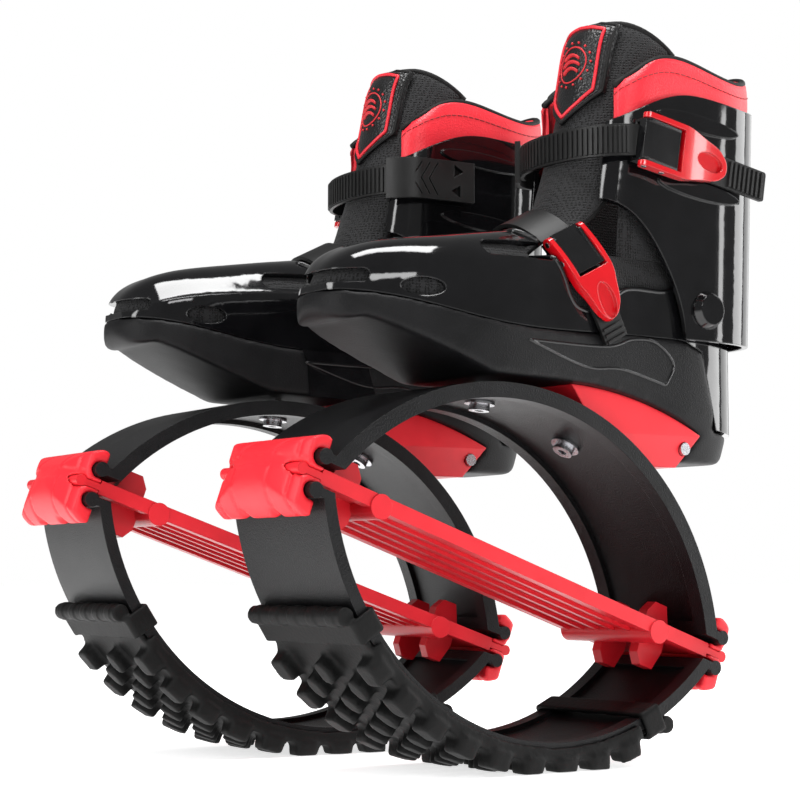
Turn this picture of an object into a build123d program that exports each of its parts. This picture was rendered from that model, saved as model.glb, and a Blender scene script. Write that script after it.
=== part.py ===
from build123d import *
import os
from math import asin, atan2, cos, degrees, radians, sin, sqrt

os.makedirs("parts", exist_ok=True)

# A pair of bounce boots. Each shoe is a hinged shell boot bolted on a bow of two curved leaf shells.
# One shoe is modelled in its own frame and then set down twice, as it is and mirrored.
# Shoe frame, in mm: +X to the toe, +Y to the wearer's left, +Z up, Z = 0 on the floor,
# X = 0 and Y = 0 at the middle of the bow. The left shoe's outer side is +Y.

# How the pair stands
shoe_spacing = 184.3
shoe_stagger = 42.6
toe_out = 2.1
bow_tilt = 19.3

# Bow shells, in the bow's own plane: u along the band, w square to it
bow_radius = 172.0
bow_crown = 107.5
bow_width = 99.0
upper_thickness = 9.5
lower_thickness = 7.6
flange_width = 11.0
channel_depth = 3.0
hook_reach = 160.0
hook_height = 10.0
hook_radius = 4.6
hook_neck = 5.0
bolt_reach = 38.0
bolt_diameter = 8.0
bolt_head_diameter = 13.0
bolt_head_height = 4.0
bolt_socket = 6.0
bolt_length = 26.0
washer_diameter = 19.0
washer_thickness = 1.6
slip = 0.3

# End caps
cap_width = 90.0
cap_back = 156.0
cap_front = 178.0
cap_top = 22.0
cap_bottom = 24.0
cap_plan_radius = 105.0
cap_slot_radius = 5.0
cap_groove_height = 7.0
cap_line_width = 2.2
cap_line_depth = 1.4
cap_line_spots = (19.0, 37.0)
cap_scallop_radius = 7.0
cap_scallop_spot = 17.0
cap_groove_rise = 4.0

# Tension band with its cross knobs and fins
band_width = 86.0
band_plate = 4.2
band_strip_width = 7.0
band_strip_height = 9.0
band_rib_width = 3.5
band_rib_height = 2.2
band_rib_pitch = 15.0
band_head_radius = 3.6
band_head_reach = 168.5
knob_reach = 112.0
knob_radius = 7.4
knob_length = 88.0
fin_setback = 29.0
fin_length = 20.0
fin_height = 42.0
fin_thickness = 8.0
fin_spacing = 36.0

# Rubber tread and the two clamps that hold its ends
tread_base = 4.0
tread_side = 3.0
tread_skirt = 5.0
lug_height = 9.0
lug_rows = 9
lug_pitch = 8.2
lug_length = 17.0
lug_width = 13.0
side_lug_length = 18.0
side_lug_width = 17.0
inner_lug_spacing = 22.0
ground_flat = 3.2
tread_middle = -3.5
tread_tail = 1.7
rear_clamp_turn = -44.0
front_clamp_turn = 37.5
lug_draft = 6.0
side_lug_out = 5.0
clamp_length = 15.0
clamp_wall = 3.0
clamp_roll_radius = 5.5
clamp_roll_ribs = 5
clamp_rib_length = 8.0
clamp_rib_height = 1.2

# Sole
boot_length = 317.0
boot_width = 98.0
heel_back = 193.0
sole_over_crown = 35.0
toe_spring = 17.0
heel_drop = 78.0
heel_radius = 24.0
sole_flare = 2.0
heel_tuck = 9.0
heel_tuck_height = 32.0
ramp_start = 28.0
ramp_end = 107.0
ramp_rise = 31.0
ramp_gap = 5.0
wedge_front = 38.0
wedge_back = 146.0
wedge_foot = 132.0
wedge_drop = 30.0
wedge_step = 2.0
wedge_lip = 3.0
wedge_facet = radians(16.0)
wedge_bolt_x = -133.0
wedge_bolt_z = 198.0
nose_radius = 22.0
heel_patch_share = 0.15
heel_patch_drop = 56.0
wedge_width = 80.0
wedge_bolt_diameter = 8.0
wedge_bolt_length = 14.0
recess_depth = 3.5
heel_hole_diameter = 10.0
heel_hole_depth = 12.0

# Lower boot shell
shell_wall = 3.0
instep_rise = 82.0
quarter_top = 31.0
quarter_dip = 14.5
ankle_top = 50.0
throat_start = 4.0
throat_rise = 35.0
vent_rise = 19.0
vent_length = 27.0
vent_height = 11.0
window_tilt = radians(42.0)
window_across = 8.0
window_length = 56.0
window_height = 13.0
window_inner = 16.0
toe_slot_turn = radians(48.0)
toe_slot_rise = 8.0
toe_slot_length = 34.0
toe_slot_height = 8.0
heel_hole_drop = 24.0

# Cuff and its pivots
pivot_back = 144.0
pivot_rise = 20.0
pivot_diameter = 9.0
pivot_cap_diameter = 25.0
pivot_cap_height = 5.0
pivot_fit = 0.08
pivot_boss = 27.0
pivot_head_diameter = 16.0
pivot_head_height = 2.0
pivot_cap_draft = 28.0
cuff_rib_rises = (97.0, 141.0)
cuff_rib_length = 70.0
cuff_rib_height = 11.0
cuff_rib_depth = 2.2
cuff_rib_lean = 6.0
cuff_half_width = 50.0
cuff_wall = 3.2
cuff_drop = 0.0
cuff_rise = 160.0
cuff_gap_half = 34.0
cuff_oval_centre = 100.0
cuff_back_low = 201.0
cuff_back_top = 208.0
cuff_front_low = 50.0
cuff_front_top = 76.0

# Soft parts
liner_wall = 6.0
liner_pull = 7.4
liner_top = 126.0
liner_throat = 29.0
liner_throat_x = 5.0
liner_step_x = 62.0
collar_wall = 8.0
collar_low = 130.0
collar_top = 182.0
collar_tab = 194.0
tongue_half_width = 34.0
tongue_clear = 1.2
tongue_wall = 6.5
tongue_low = 58.0
tongue_high = 208.0
tongue_front = 12.0
tongue_back = 86.0
tongue_trim = 24.0
patch_wall = 1.6
patch_half_width = 24.0
patch_low = 140.0
patch_high = 206.0
insole_thickness = 5.0

# Upper ladder strap, its anchor on the inner side and its buckle on the outer side
strap_thickness = 2.4
upper_strap_height = 20.0
upper_strap_level = 123.0
strap_bend = 83.0
strap_front = 54.0
strap_slope = 9.5
upper_strap_tail = 192.0
anchor_back = 124.0
anchor_height = 28.0
anchor_thickness = 3.5
anchor_groove = 1.2
anchor_pad_height = 20.0
anchor_pad_length = 26.0
anchor_hidden = 74
anchor_sweep = 42
anchor_hole = 9.0
tooth_pitch = 4.0
tooth_width = 1.8
tooth_height = 1.2
tail_teeth = 8
front_teeth = 28
teeth_behind = 10
strap_overlap = 6
strap_gap = 2

# Instep strap and the short ladder strap from the sole
instep_top = 74.0
instep_back = 28.0
instep_slope = 26.6
instep_half_width = 46.7
instep_shift = 0.8
instep_drop = 78.0
instep_tail = 9.0
instep_width = 26.0
instep_buckle_turn = 38.5
ladder_width = 19.0
ladder_teeth = 3

# Ratchet buckles
buckle_floor = 2.0
buckle_cheek = 2.0
buckle_cheek_length = 30.0
buckle_arm = 3.4
buckle_axle = 4.0
buckle_arm_height = 8.0
buckle_cover_rise = 6.5
buckle_tip_width = 15.0
buckle_tip_height = 3.6
buckle_pin_diameter = 3.6
buckle_pawl_reach = 15.0
pin_fit = 0.06
scoop_depth = 1.2
upper_buckle_x = -85.0
upper_buckle_room = 23.0
upper_lever_length = 69.0
instep_tip_turn = 2.0

overrun = 400.0

# Places that follow from the sizes above
tilt = radians(bow_tilt)
bow_drop = bow_radius - bow_crown
lug_radius = bow_radius + tread_base + lug_height
bow_height = lug_radius - ground_flat - bow_drop * cos(tilt)
bow_origin = (0, 0, bow_height)
bow_along = (cos(tilt), 0, sin(tilt))
bow_up = Plane(origin=bow_origin, x_dir=bow_along, z_dir=(0, -1, 0))
bow_down = Plane(origin=bow_origin, x_dir=bow_along, z_dir=(0, 1, 0))
bow_flat = Plane(origin=bow_origin, x_dir=bow_along, z_dir=(-sin(tilt), 0, cos(tilt)))
fin_reach = cap_back - fin_setback
crown_z = bow_height - bow_drop * cos(tilt) + bow_radius
sole_top = crown_z + sole_over_crown
toe_x = boot_length - heel_back
heel_z = sole_top - heel_drop
ramp_base = crown_z + ramp_gap
side = Plane.XZ


def on_bow(plane, angle, radius):
    """Plane square to the bow's arc, its local X along the arc and its Z outward."""
    turn = radians(angle)
    centre = plane.origin - plane.y_dir * bow_drop
    out = plane.x_dir * sin(turn) + plane.y_dir * cos(turn)
    along = plane.x_dir * cos(turn) - plane.y_dir * sin(turn)
    return Plane(origin=centre + out * radius, x_dir=along, z_dir=out)


def draw_leaf(thickness):
    """Side view of one leaf shell: an arc whose ends turn out into round beads."""
    with Locations((0, -bow_drop)):
        Circle(bow_radius)
        Circle(bow_radius - thickness, mode=Mode.SUBTRACT)
    with Locations((0, hook_height - hook_neck / 2)):
        Rectangle(2 * overrun, overrun, align=(Align.CENTER, Align.MIN), mode=Mode.INTERSECT)
    neck_start = sqrt(bow_radius**2 - (bow_drop + hook_height) ** 2) - thickness / 2
    for end in (-1, 1):
        with Locations((end * (neck_start + hook_reach) / 2, hook_height)):
            Rectangle(hook_reach - neck_start, hook_neck)
        with Locations((end * hook_reach, hook_height)):
            Circle(hook_radius)


def draw_channel(thickness, depth):
    """The shallow channel between the edge flanges, on the inner face."""
    with Locations((0, -bow_drop)):
        Circle(bow_radius - thickness + depth)
        Circle(bow_radius - thickness - depth, mode=Mode.SUBTRACT)
    with Locations((0, hook_height + hook_neck)):
        Rectangle(2 * overrun, overrun, align=(Align.CENTER, Align.MIN), mode=Mode.INTERSECT)


channel_width = bow_width - 2 * flange_width
bolt_angle = degrees(asin(bolt_reach / bow_radius))
bolt_seat = bow_radius - upper_thickness + channel_depth
bolt_planes = [on_bow(bow_up, turn, bolt_seat) for turn in (-bolt_angle, bolt_angle)]

# Upper leaf shell, bolted under the sole
with BuildPart() as upper_shell:
    with BuildSketch(bow_up):
        draw_leaf(upper_thickness)
    extrude(amount=bow_width / 2, both=True)
    with BuildSketch(bow_up):
        draw_channel(upper_thickness, channel_depth)
    extrude(amount=channel_width / 2, both=True, mode=Mode.SUBTRACT)
    with BuildSketch(*bolt_planes):
        Circle(bolt_diameter / 2 + slip)
    extrude(amount=upper_thickness, both=True, mode=Mode.SUBTRACT)

# Lower leaf shell, carrying the tread
with BuildPart() as lower_shell:
    with BuildSketch(bow_down):
        draw_leaf(lower_thickness)
    extrude(amount=bow_width / 2, both=True)
    with BuildSketch(bow_down):
        draw_channel(lower_thickness, channel_depth)
    extrude(amount=channel_width / 2, both=True, mode=Mode.SUBTRACT)


def cap_form(inset):
    """Outer form of the front end cap: a bowed profile, rounded in plan too."""
    with BuildPart() as form:
        with BuildSketch(bow_up):
            with BuildLine():
                lip = Polyline(
                    (cap_back, inset - cap_bottom),
                    (cap_back, cap_top - inset),
                    (hook_reach, cap_top + cap_line_depth - inset),
                )
                ThreePointArc(
                    lip @ 1,
                    ((cap_front - inset), (cap_top - cap_bottom) / 2),
                    (hook_reach, inset - cap_bottom - cap_line_depth),
                )
                Line((hook_reach, inset - cap_bottom - cap_line_depth), lip @ 0)
            make_face()
        extrude(amount=cap_width / 2, both=True)
        with BuildSketch(bow_flat):
            with Locations(((cap_front - cap_plan_radius), 0)):
                Circle(cap_plan_radius - inset)
        extrude(amount=overrun, both=True, mode=Mode.INTERSECT)
    return form


def cap_part():
    """End cap: a C-shaped moulding that holds both beads and the band's head."""
    across = Plane(origin=bow_origin, x_dir=(0, 1, 0), z_dir=bow_along)
    with BuildPart() as grooves:
        with BuildSketch(across):
            with Locations((0, cap_groove_rise)):
                Rectangle(cap_width, cap_groove_height)
            for spot in cap_line_spots:
                with GridLocations(2 * spot, 0, 2, 1):
                    Rectangle(cap_line_width, 2 * (cap_bottom + cap_top))
        extrude(amount=overrun)
        add(cap_form(cap_line_depth).part, mode=Mode.SUBTRACT)
    with BuildPart() as cap:
        add(cap_form(0).part)
        add(grooves.part, mode=Mode.SUBTRACT)
        # Two open slots for the beads and a keyhole for the band's head
        with BuildSketch(bow_up):
            for height in (hook_height, -hook_height):
                with Locations((hook_reach, height)):
                    Circle(cap_slot_radius)
                with Locations(((hook_reach - cap_slot_radius), height)):
                    Rectangle(2 * cap_slot_radius, 2 * cap_slot_radius)
            with Locations((band_head_reach, 0)):
                Circle(band_head_radius + slip)
            with Locations(((band_head_reach + cap_back - slip) / 2, 0)):
                Rectangle(band_head_reach - cap_back + slip, band_plate + 2 * slip)
        extrude(amount=cap_width, both=True, mode=Mode.SUBTRACT)
        # Scalloped lower edge
        with BuildSketch(across):
            with Locations((0, -cap_bottom - cap_line_depth - cap_scallop_radius / 2)):
                with GridLocations(2 * cap_scallop_spot, 0, 2, 1):
                    Circle(cap_scallop_radius)
        extrude(amount=overrun, mode=Mode.SUBTRACT)
    return cap


front_cap = cap_part()
with BuildPart() as rear_cap:
    add(mirror(front_cap.part, about=Plane(origin=bow_origin, z_dir=bow_along)))

# Red tension band: a plate with edge strips, ribs below, cross knobs and fins
with BuildPart() as tension_band:
    span = 2 * (cap_back - slip)
    with BuildSketch(bow_flat):
        Rectangle(2 * band_head_reach, band_width)
    extrude(amount=band_plate / 2, both=True)
    with BuildSketch(bow_flat):
        with GridLocations(0, band_width - band_strip_width, 1, 2):
            Rectangle(span - 2 * slip, band_strip_width)
    extrude(amount=band_strip_height / 2, both=True)
    with BuildSketch(bow_flat.offset(-band_rib_height - band_plate / 2)):
        with GridLocations(0, band_rib_pitch, 1, 4):
            Rectangle(2 * (fin_reach - fin_length), band_rib_width)
    extrude(amount=band_rib_height + band_plate / 2)
    with BuildSketch(bow_up):
        for end in (-1, 1):
            with Locations((end * band_head_reach, 0)):
                Circle(band_head_radius)
    extrude(amount=band_width / 2, both=True)
    with BuildSketch(bow_up):
        for end in (-1, 1):
            with Locations((end * knob_reach, -band_plate / 2)):
                Circle(knob_radius)
    extrude(amount=knob_length / 2, both=True)
    for fin_side in (-1, 1):
        with BuildSketch(bow_up.offset(fin_side * fin_spacing / 2 - fin_thickness / 2)):
            for end in (-1, 1):
                with Locations((end * fin_reach, 0)):
                    with BuildLine():
                        Polyline(
                            (end * (fin_reach - fin_length / 2), -fin_height / 3),
                            (end * (fin_reach - fin_length / 4), -fin_height / 2),
                            (end * (fin_reach + fin_length / 4), -fin_height / 2),
                            (end * (fin_reach + fin_length / 2), -fin_height / 5),
                            (end * (fin_reach + fin_length / 2), fin_height / 5),
                            (end * (fin_reach + fin_length / 4), fin_height / 2),
                            (end * (fin_reach - fin_length / 4), fin_height / 2),
                            (end * (fin_reach - fin_length / 2), fin_height / 3),
                            close=True,
                        )
                    make_face()
        extrude(amount=fin_thickness)


def draw_pie(first, last):
    """Keeps the part of an arc profile that lies between two angles."""
    with BuildLine() as outline:
        reach = 2 * bow_radius
        Polyline(
            (0, -bow_drop),
            (reach * sin(radians(first)), reach * cos(radians(first)) - bow_drop),
            (reach * sin(radians(last)), reach * cos(radians(last)) - bow_drop),
            close=True,
        )
    make_face(outline.edges(), mode=Mode.INTERSECT)


def draw_ring(inner, outer):
    """Ring round the centre of the bow's arc."""
    with Locations((0, -bow_drop)):
        Circle(outer)
        Circle(inner, mode=Mode.SUBTRACT)


# Rubber tread: a thin belt under the lower shell, side blocks and staggered oval lugs
lug_turns = [tread_middle + lug_pitch * (row - (lug_rows - 1) / 2) for row in range(lug_rows)]
mid_turns = [turn + lug_pitch / 2 for turn in lug_turns[:-1]]
lug_root = bow_radius + tread_base / 2
with BuildPart() as tread:
    with BuildSketch(bow_down):
        draw_ring(bow_radius + slip, bow_radius + tread_base)
        draw_pie(rear_clamp_turn - tread_tail, front_clamp_turn + tread_tail)
    extrude(amount=bow_width / 2, both=True)
    with BuildSketch(bow_down):
        draw_ring(bow_radius - tread_skirt, bow_radius + tread_base)
        draw_pie(lug_turns[0] - lug_pitch / 2, lug_turns[-1] + lug_pitch / 2)
    extrude(amount=bow_width / 2 + tread_side, both=True)
    with BuildSketch(bow_down):
        draw_ring(bow_radius - 2 * tread_skirt, bow_radius + slip)
    extrude(amount=bow_width / 2 + slip, both=True, mode=Mode.SUBTRACT)
    with BuildSketch(*[on_bow(bow_down, turn, lug_root) for turn in lug_turns]):
        Ellipse(lug_length / 2, lug_width / 2)
    extrude(amount=lug_height + tread_base / 2)
    with BuildSketch(*[on_bow(bow_down, turn, lug_root) for turn in mid_turns]):
        with GridLocations(0, 2 * inner_lug_spacing, 1, 2):
            Ellipse(lug_length / 2, lug_width / 2)
    extrude(amount=lug_height + tread_base / 2)
    with BuildSketch(*[on_bow(bow_down, turn, lug_root) for turn in lug_turns]):
        with GridLocations(0, bow_width + 2 * side_lug_out - side_lug_width, 1, 2):
            RectangleRounded(side_lug_length, side_lug_width, side_lug_length / 4)
    extrude(amount=lug_height + tread_base / 2, taper=lug_draft)
    with BuildSketch(Plane.XY):
        Rectangle(overrun, overrun)
    extrude(amount=-overrun, mode=Mode.SUBTRACT)

# Two rubber clamps, each a loop round shell and tread with a ribbed roll on its cap side
with BuildPart() as tread_clamps:
    for clamp_turn, roll_side in ((rear_clamp_turn, -1), (front_clamp_turn, 1)):
        base = on_bow(bow_down, clamp_turn, bow_radius)
        loop = Plane(origin=base.origin, x_dir=(0, 1, 0), z_dir=base.x_dir)
        out_way = 1 if loop.y_dir.dot(base.z_dir) > 0 else -1
        middle = out_way * (tread_base - lower_thickness) / 2
        hole_height = lower_thickness + tread_base + 2 * slip
        hole_width = bow_width + 2 * slip
        with BuildSketch(loop):
            with Locations((0, middle)):
                RectangleRounded(hole_width + 2 * clamp_wall, hole_height + 2 * clamp_wall, clamp_wall)
                Rectangle(hole_width, hole_height, mode=Mode.SUBTRACT)
        extrude(amount=clamp_length / 2, both=True)
        roll_along = roll_side * (clamp_length / 2 + clamp_roll_radius - clamp_wall / 2)
        roll_seat = clamp_roll_radius + 3 * slip
        roll_plane = Plane(
            origin=base.origin + base.x_dir * roll_along + base.z_dir * roll_seat,
            z_dir=(0, 1, 0),
        )
        with BuildSketch(roll_plane):
            Circle(clamp_roll_radius)
        extrude(amount=bow_width / 2, both=True)
        rib_step = bow_width / clamp_roll_ribs
        for rib in range(clamp_roll_ribs):
            rib_y = rib_step * (rib - (clamp_roll_ribs - 1) / 2)
            with BuildSketch(roll_plane.offset(rib_y)):
                Circle(clamp_roll_radius + clamp_rib_height / 2)
            extrude(amount=clamp_rib_length / 2, both=True)

# Two socket bolts with washers, up through the upper shell into the sole
with BuildPart() as shell_bolts:
    for seat_plane in bolt_planes:
        seat = seat_plane.offset(-slip)
        with BuildSketch(seat):
            Circle(washer_diameter / 2)
            Circle(bolt_diameter / 2, mode=Mode.SUBTRACT)
        extrude(amount=-washer_thickness)
        with BuildSketch(seat.offset(-washer_thickness)):
            Circle(bolt_head_diameter / 2)
            RegularPolygon(bolt_socket / 2, 6, mode=Mode.SUBTRACT)
        extrude(amount=-bolt_head_height)
        with BuildSketch(seat.offset(-washer_thickness)):
            Circle(bolt_diameter / 2)
        extrude(amount=bolt_length)

# Foot form: stations along the boot as shares of its length, half width and instep rise
foot_shares = (
    (0.996, 0.20, 0.40, 0.34),
    (0.968, 0.45, 0.65, 0.47),
    (0.918, 0.67, 0.84, 0.57),
    (0.830, 0.88, 0.94, 0.645),
    (0.703, 1.00, 0.96, 0.72),
    (0.562, 0.97, 0.92, 0.81),
    (0.420, 0.92, 0.89, 0.95),
    (0.262, 0.89, 0.89, 1.00),
    (0.136, 0.86, 0.86, 1.00),
    (0.047, 0.65, 0.65, 0.95),
    (0.004, 0.27, 0.27, 0.85),
)
arch_shares = ((1.0, 0.35), (0.95, 0.62), (0.70, 0.90), (0.0, 1.0))


def foot_x(share):
    """Place along the boot, from the heel's back to the toe."""
    return share * boot_length - heel_back


def draw_plan(inset):
    """Outline of the foot seen from above, drawn in from the full width."""
    half = boot_width / 2
    outer = [(foot_x(x), half * o - inset) for x, o, i, rise in foot_shares[1:-1]]
    inner = [(foot_x(x), inset - half * i) for x, o, i, rise in foot_shares[1:-1]]
    toe = (foot_x(1) - inset, (outer[0][1] + inner[0][1]) / 2)
    heel = (inset - heel_back, 0)
    with BuildLine() as outline:
        Spline(toe, *outer, heel, *reversed(inner), periodic=True)
    make_face(outline.edges())


def foot_solid(inset, low):
    """Smooth solid of the foot form, lofted through upright sections."""
    with BuildPart() as form:
        for x, o, i, rise in foot_shares:
            pull = inset * (1 if 0.02 < x < 0.98 else 2)
            end_pull = inset if x > 0.9 else (-inset if x < 0.1 else 0)
            lateral = boot_width / 2 * o - min(pull, boot_width / 3 * o)
            medial = boot_width / 2 * i - min(pull, boot_width / 3 * i)
            top = sole_top + instep_rise * rise - inset
            high = top - sole_top
            upright = Plane(origin=(foot_x(x) - end_pull, 0, 0), x_dir=(0, 1, 0), z_dir=(1, 0, 0))
            with BuildSketch(upright):
                with BuildLine():
                    right = [(-medial * across, sole_top + high * up) for across, up in arch_shares]
                    left = [(lateral * across, sole_top + high * up) for across, up in arch_shares]
                    crown = ((lateral - medial) / 2, top)
                    Line((-medial, sole_top + high * arch_shares[0][1]), (-medial, low))
                    Line((-medial, low), (lateral, low))
                    Line((lateral, low), (lateral, sole_top + high * arch_shares[0][1]))
                    Spline(*left[:-1], crown, *reversed(right[:-1]), tangents=((0, 1), (0, -1)))
                make_face()
        loft()
    return form


def draw_above(lift):
    """Region above the line where the shell meets the sole, in side view."""
    with BuildLine() as outline:
        seam = Spline(
            (toe_x + heel_radius, sole_top + toe_spring + lift),
            (foot_x(0.90), sole_top + 0.78 * toe_spring + lift),
            (foot_x(0.70), sole_top + 0.12 * toe_spring + lift),
            (foot_x(0.45), sole_top + lift),
            (foot_x(0.20), sole_top + lift),
        )
        Polyline(
            seam @ 1,
            (foot_x(heel_patch_share), sole_top - heel_drop * 0.08 + lift),
            (foot_x(heel_patch_share * 0.7), sole_top - heel_patch_drop + lift),
            (-heel_back - heel_radius, sole_top - heel_patch_drop * 1.1 + lift),
            (-heel_back - heel_radius, overrun),
            (toe_x + heel_radius, overrun),
            seam @ 0,
        )
    make_face(outline.edges())


# Matte sole: thin at the toe, tall at the heel, saddled on the upper shell
with BuildPart() as sole:
    with BuildSketch(Plane.XY.offset(heel_z)):
        draw_plan(heel_tuck)
    with BuildSketch(Plane.XY.offset(heel_z + heel_tuck_height)):
        draw_plan(-sole_flare)
    loft()
    with BuildSketch(Plane.XY.offset(heel_z + heel_tuck_height)):
        draw_plan(-sole_flare)
    extrude(amount=sole_top + toe_spring - heel_z - heel_tuck_height)
    with BuildSketch(side):
        with BuildLine():
            nose = ThreePointArc(
                (toe_x + sole_flare, sole_top + toe_spring),
                (toe_x - nose_radius * 0.2, sole_top + toe_spring - nose_radius * 0.75),
                (ramp_end, ramp_base + ramp_rise),
            )
            ramp = Line(nose @ 1, (ramp_start, ramp_base))
            flat = Line(ramp @ 1, (-wedge_front, ramp_base - wedge_step))
            hollow = ThreePointArc(
                flat @ 1,
                (-(wedge_front + wedge_back) / 2, ramp_base - wedge_drop * 0.33),
                (-wedge_back, ramp_base - wedge_drop),
            )
            Line(hollow @ 1, (-wedge_foot, heel_z))
            Line((-wedge_foot, heel_z), (heel_radius - heel_back, heel_z))
            back = ThreePointArc(
                (heel_radius - heel_back, heel_z),
                (heel_radius * 0.3 - heel_back, heel_z + heel_radius * 0.3),
                (-heel_back - sole_flare, heel_z + heel_radius),
            )
            Polyline(
                back @ 1,
                (-heel_back - sole_flare, sole_top + toe_spring),
                nose @ 0,
            )
        make_face()
    extrude(amount=boot_width, both=True, mode=Mode.INTERSECT)
    with BuildSketch(side):
        draw_above(0)
    extrude(amount=boot_width, both=True, mode=Mode.SUBTRACT)
    with BuildSketch(bow_up):
        with Locations((0, -bow_drop)):
            Circle(bow_radius + slip)
    extrude(amount=boot_width, both=True, mode=Mode.SUBTRACT)
    with BuildSketch(*bolt_planes):
        Circle(bolt_diameter / 2 + slip)
    extrude(amount=bolt_length + slip, mode=Mode.SUBTRACT)

# Wave-shaped recess along both sides of the sole
with BuildPart() as recess:
    with BuildSketch(side):
        with BuildLine():
            tip = (foot_x(0.615), sole_top - 0.12 * heel_drop)
            foot = (foot_x(0.260), sole_top - 0.36 * heel_drop)
            Spline(
                tip,
                (foot_x(0.475), sole_top - 0.26 * heel_drop),
                (foot_x(0.375), sole_top - 0.26 * heel_drop),
                foot,
            )
            Spline(
                foot,
                (foot_x(0.243), sole_top - 0.20 * heel_drop),
                (foot_x(0.285), sole_top - 0.06 * heel_drop),
                (foot_x(0.345), sole_top - 0.05 * heel_drop),
                (foot_x(0.420), sole_top - 0.13 * heel_drop),
                tip,
            )
        make_face()
    extrude(amount=boot_width, both=True)
    with BuildSketch(Plane.XY.offset(heel_z)):
        draw_plan(recess_depth - sole_flare)
    extrude(amount=sole_top - heel_z, mode=Mode.SUBTRACT)
with sole:
    add(recess.part, mode=Mode.SUBTRACT)

# Red heel wedge between the upper shell and the sole
wedge_slope = (wedge_back - wedge_foot) / (ramp_base - wedge_drop - heel_z)
with BuildPart() as heel_wedge:
    with BuildSketch(side):
        with BuildLine():
            start = (-wedge_front - slip, ramp_base - wedge_step - slip)
            top = ThreePointArc(
                start,
                (-(wedge_front + wedge_back) / 2, ramp_base - wedge_drop * 0.33 - slip),
                (2 * slip - wedge_back, ramp_base - wedge_drop - slip),
            )
            Polyline(
                top @ 1,
                (2 * slip - wedge_foot + wedge_lip * wedge_slope, heel_z - wedge_lip),
                (-wedge_foot * 0.55, heel_z - wedge_lip),
                start,
            )
        make_face()
    extrude(amount=wedge_width / 2, both=True)
    with BuildSketch(bow_up):
        with Locations((0, -bow_drop)):
            Circle(bow_radius + slip)
    extrude(amount=wedge_width, both=True, mode=Mode.SUBTRACT)
    with BuildSketch(bolt_planes[0]):
        Circle(bolt_diameter / 2 + slip)
    extrude(amount=bolt_length + slip, mode=Mode.SUBTRACT)
    # A bevelled facet below the crease on both sides, with the bolt in it
    for hand in (-1, 1):
        crease = Plane(
            origin=(wedge_bolt_x, hand * wedge_width / 2, wedge_bolt_z + wedge_bolt_diameter),
            x_dir=bow_along,
            z_dir=(0, hand * cos(wedge_facet), -sin(wedge_facet)),
        )
        with BuildSketch(crease):
            Rectangle(overrun, overrun)
        extrude(amount=overrun, mode=Mode.SUBTRACT)
        with BuildSketch(side.offset(-hand * wedge_width / 2)):
            with Locations((wedge_bolt_x, wedge_bolt_z)):
                Circle(wedge_bolt_diameter / 2 + slip)
        extrude(amount=wedge_bolt_length, both=True, mode=Mode.SUBTRACT)

with BuildPart() as wedge_bolts:
    for face_y in (1, -1):
        head_y = face_y * (wedge_width / 2 - wedge_bolt_length / 2)
        with BuildSketch(side.offset(-head_y)):
            with Locations((wedge_bolt_x, wedge_bolt_z)):
                Circle(wedge_bolt_diameter / 2)
        extrude(amount=wedge_bolt_length / 2 - slip, both=True)


def foot_room(inset):
    """The foot form drawn in all round, above the seam by the same inset."""
    with BuildPart() as room:
        add(foot_solid(inset, sole_top).part)
        with BuildSketch(side):
            draw_above(inset)
        extrude(amount=boot_width, both=True, mode=Mode.INTERSECT)
        with BuildSketch(Plane.XY.offset(sole_top + inset)):
            Rectangle(2 * boot_length, 2 * boot_width)
        extrude(amount=-overrun, mode=Mode.SUBTRACT)
    return room


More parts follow.
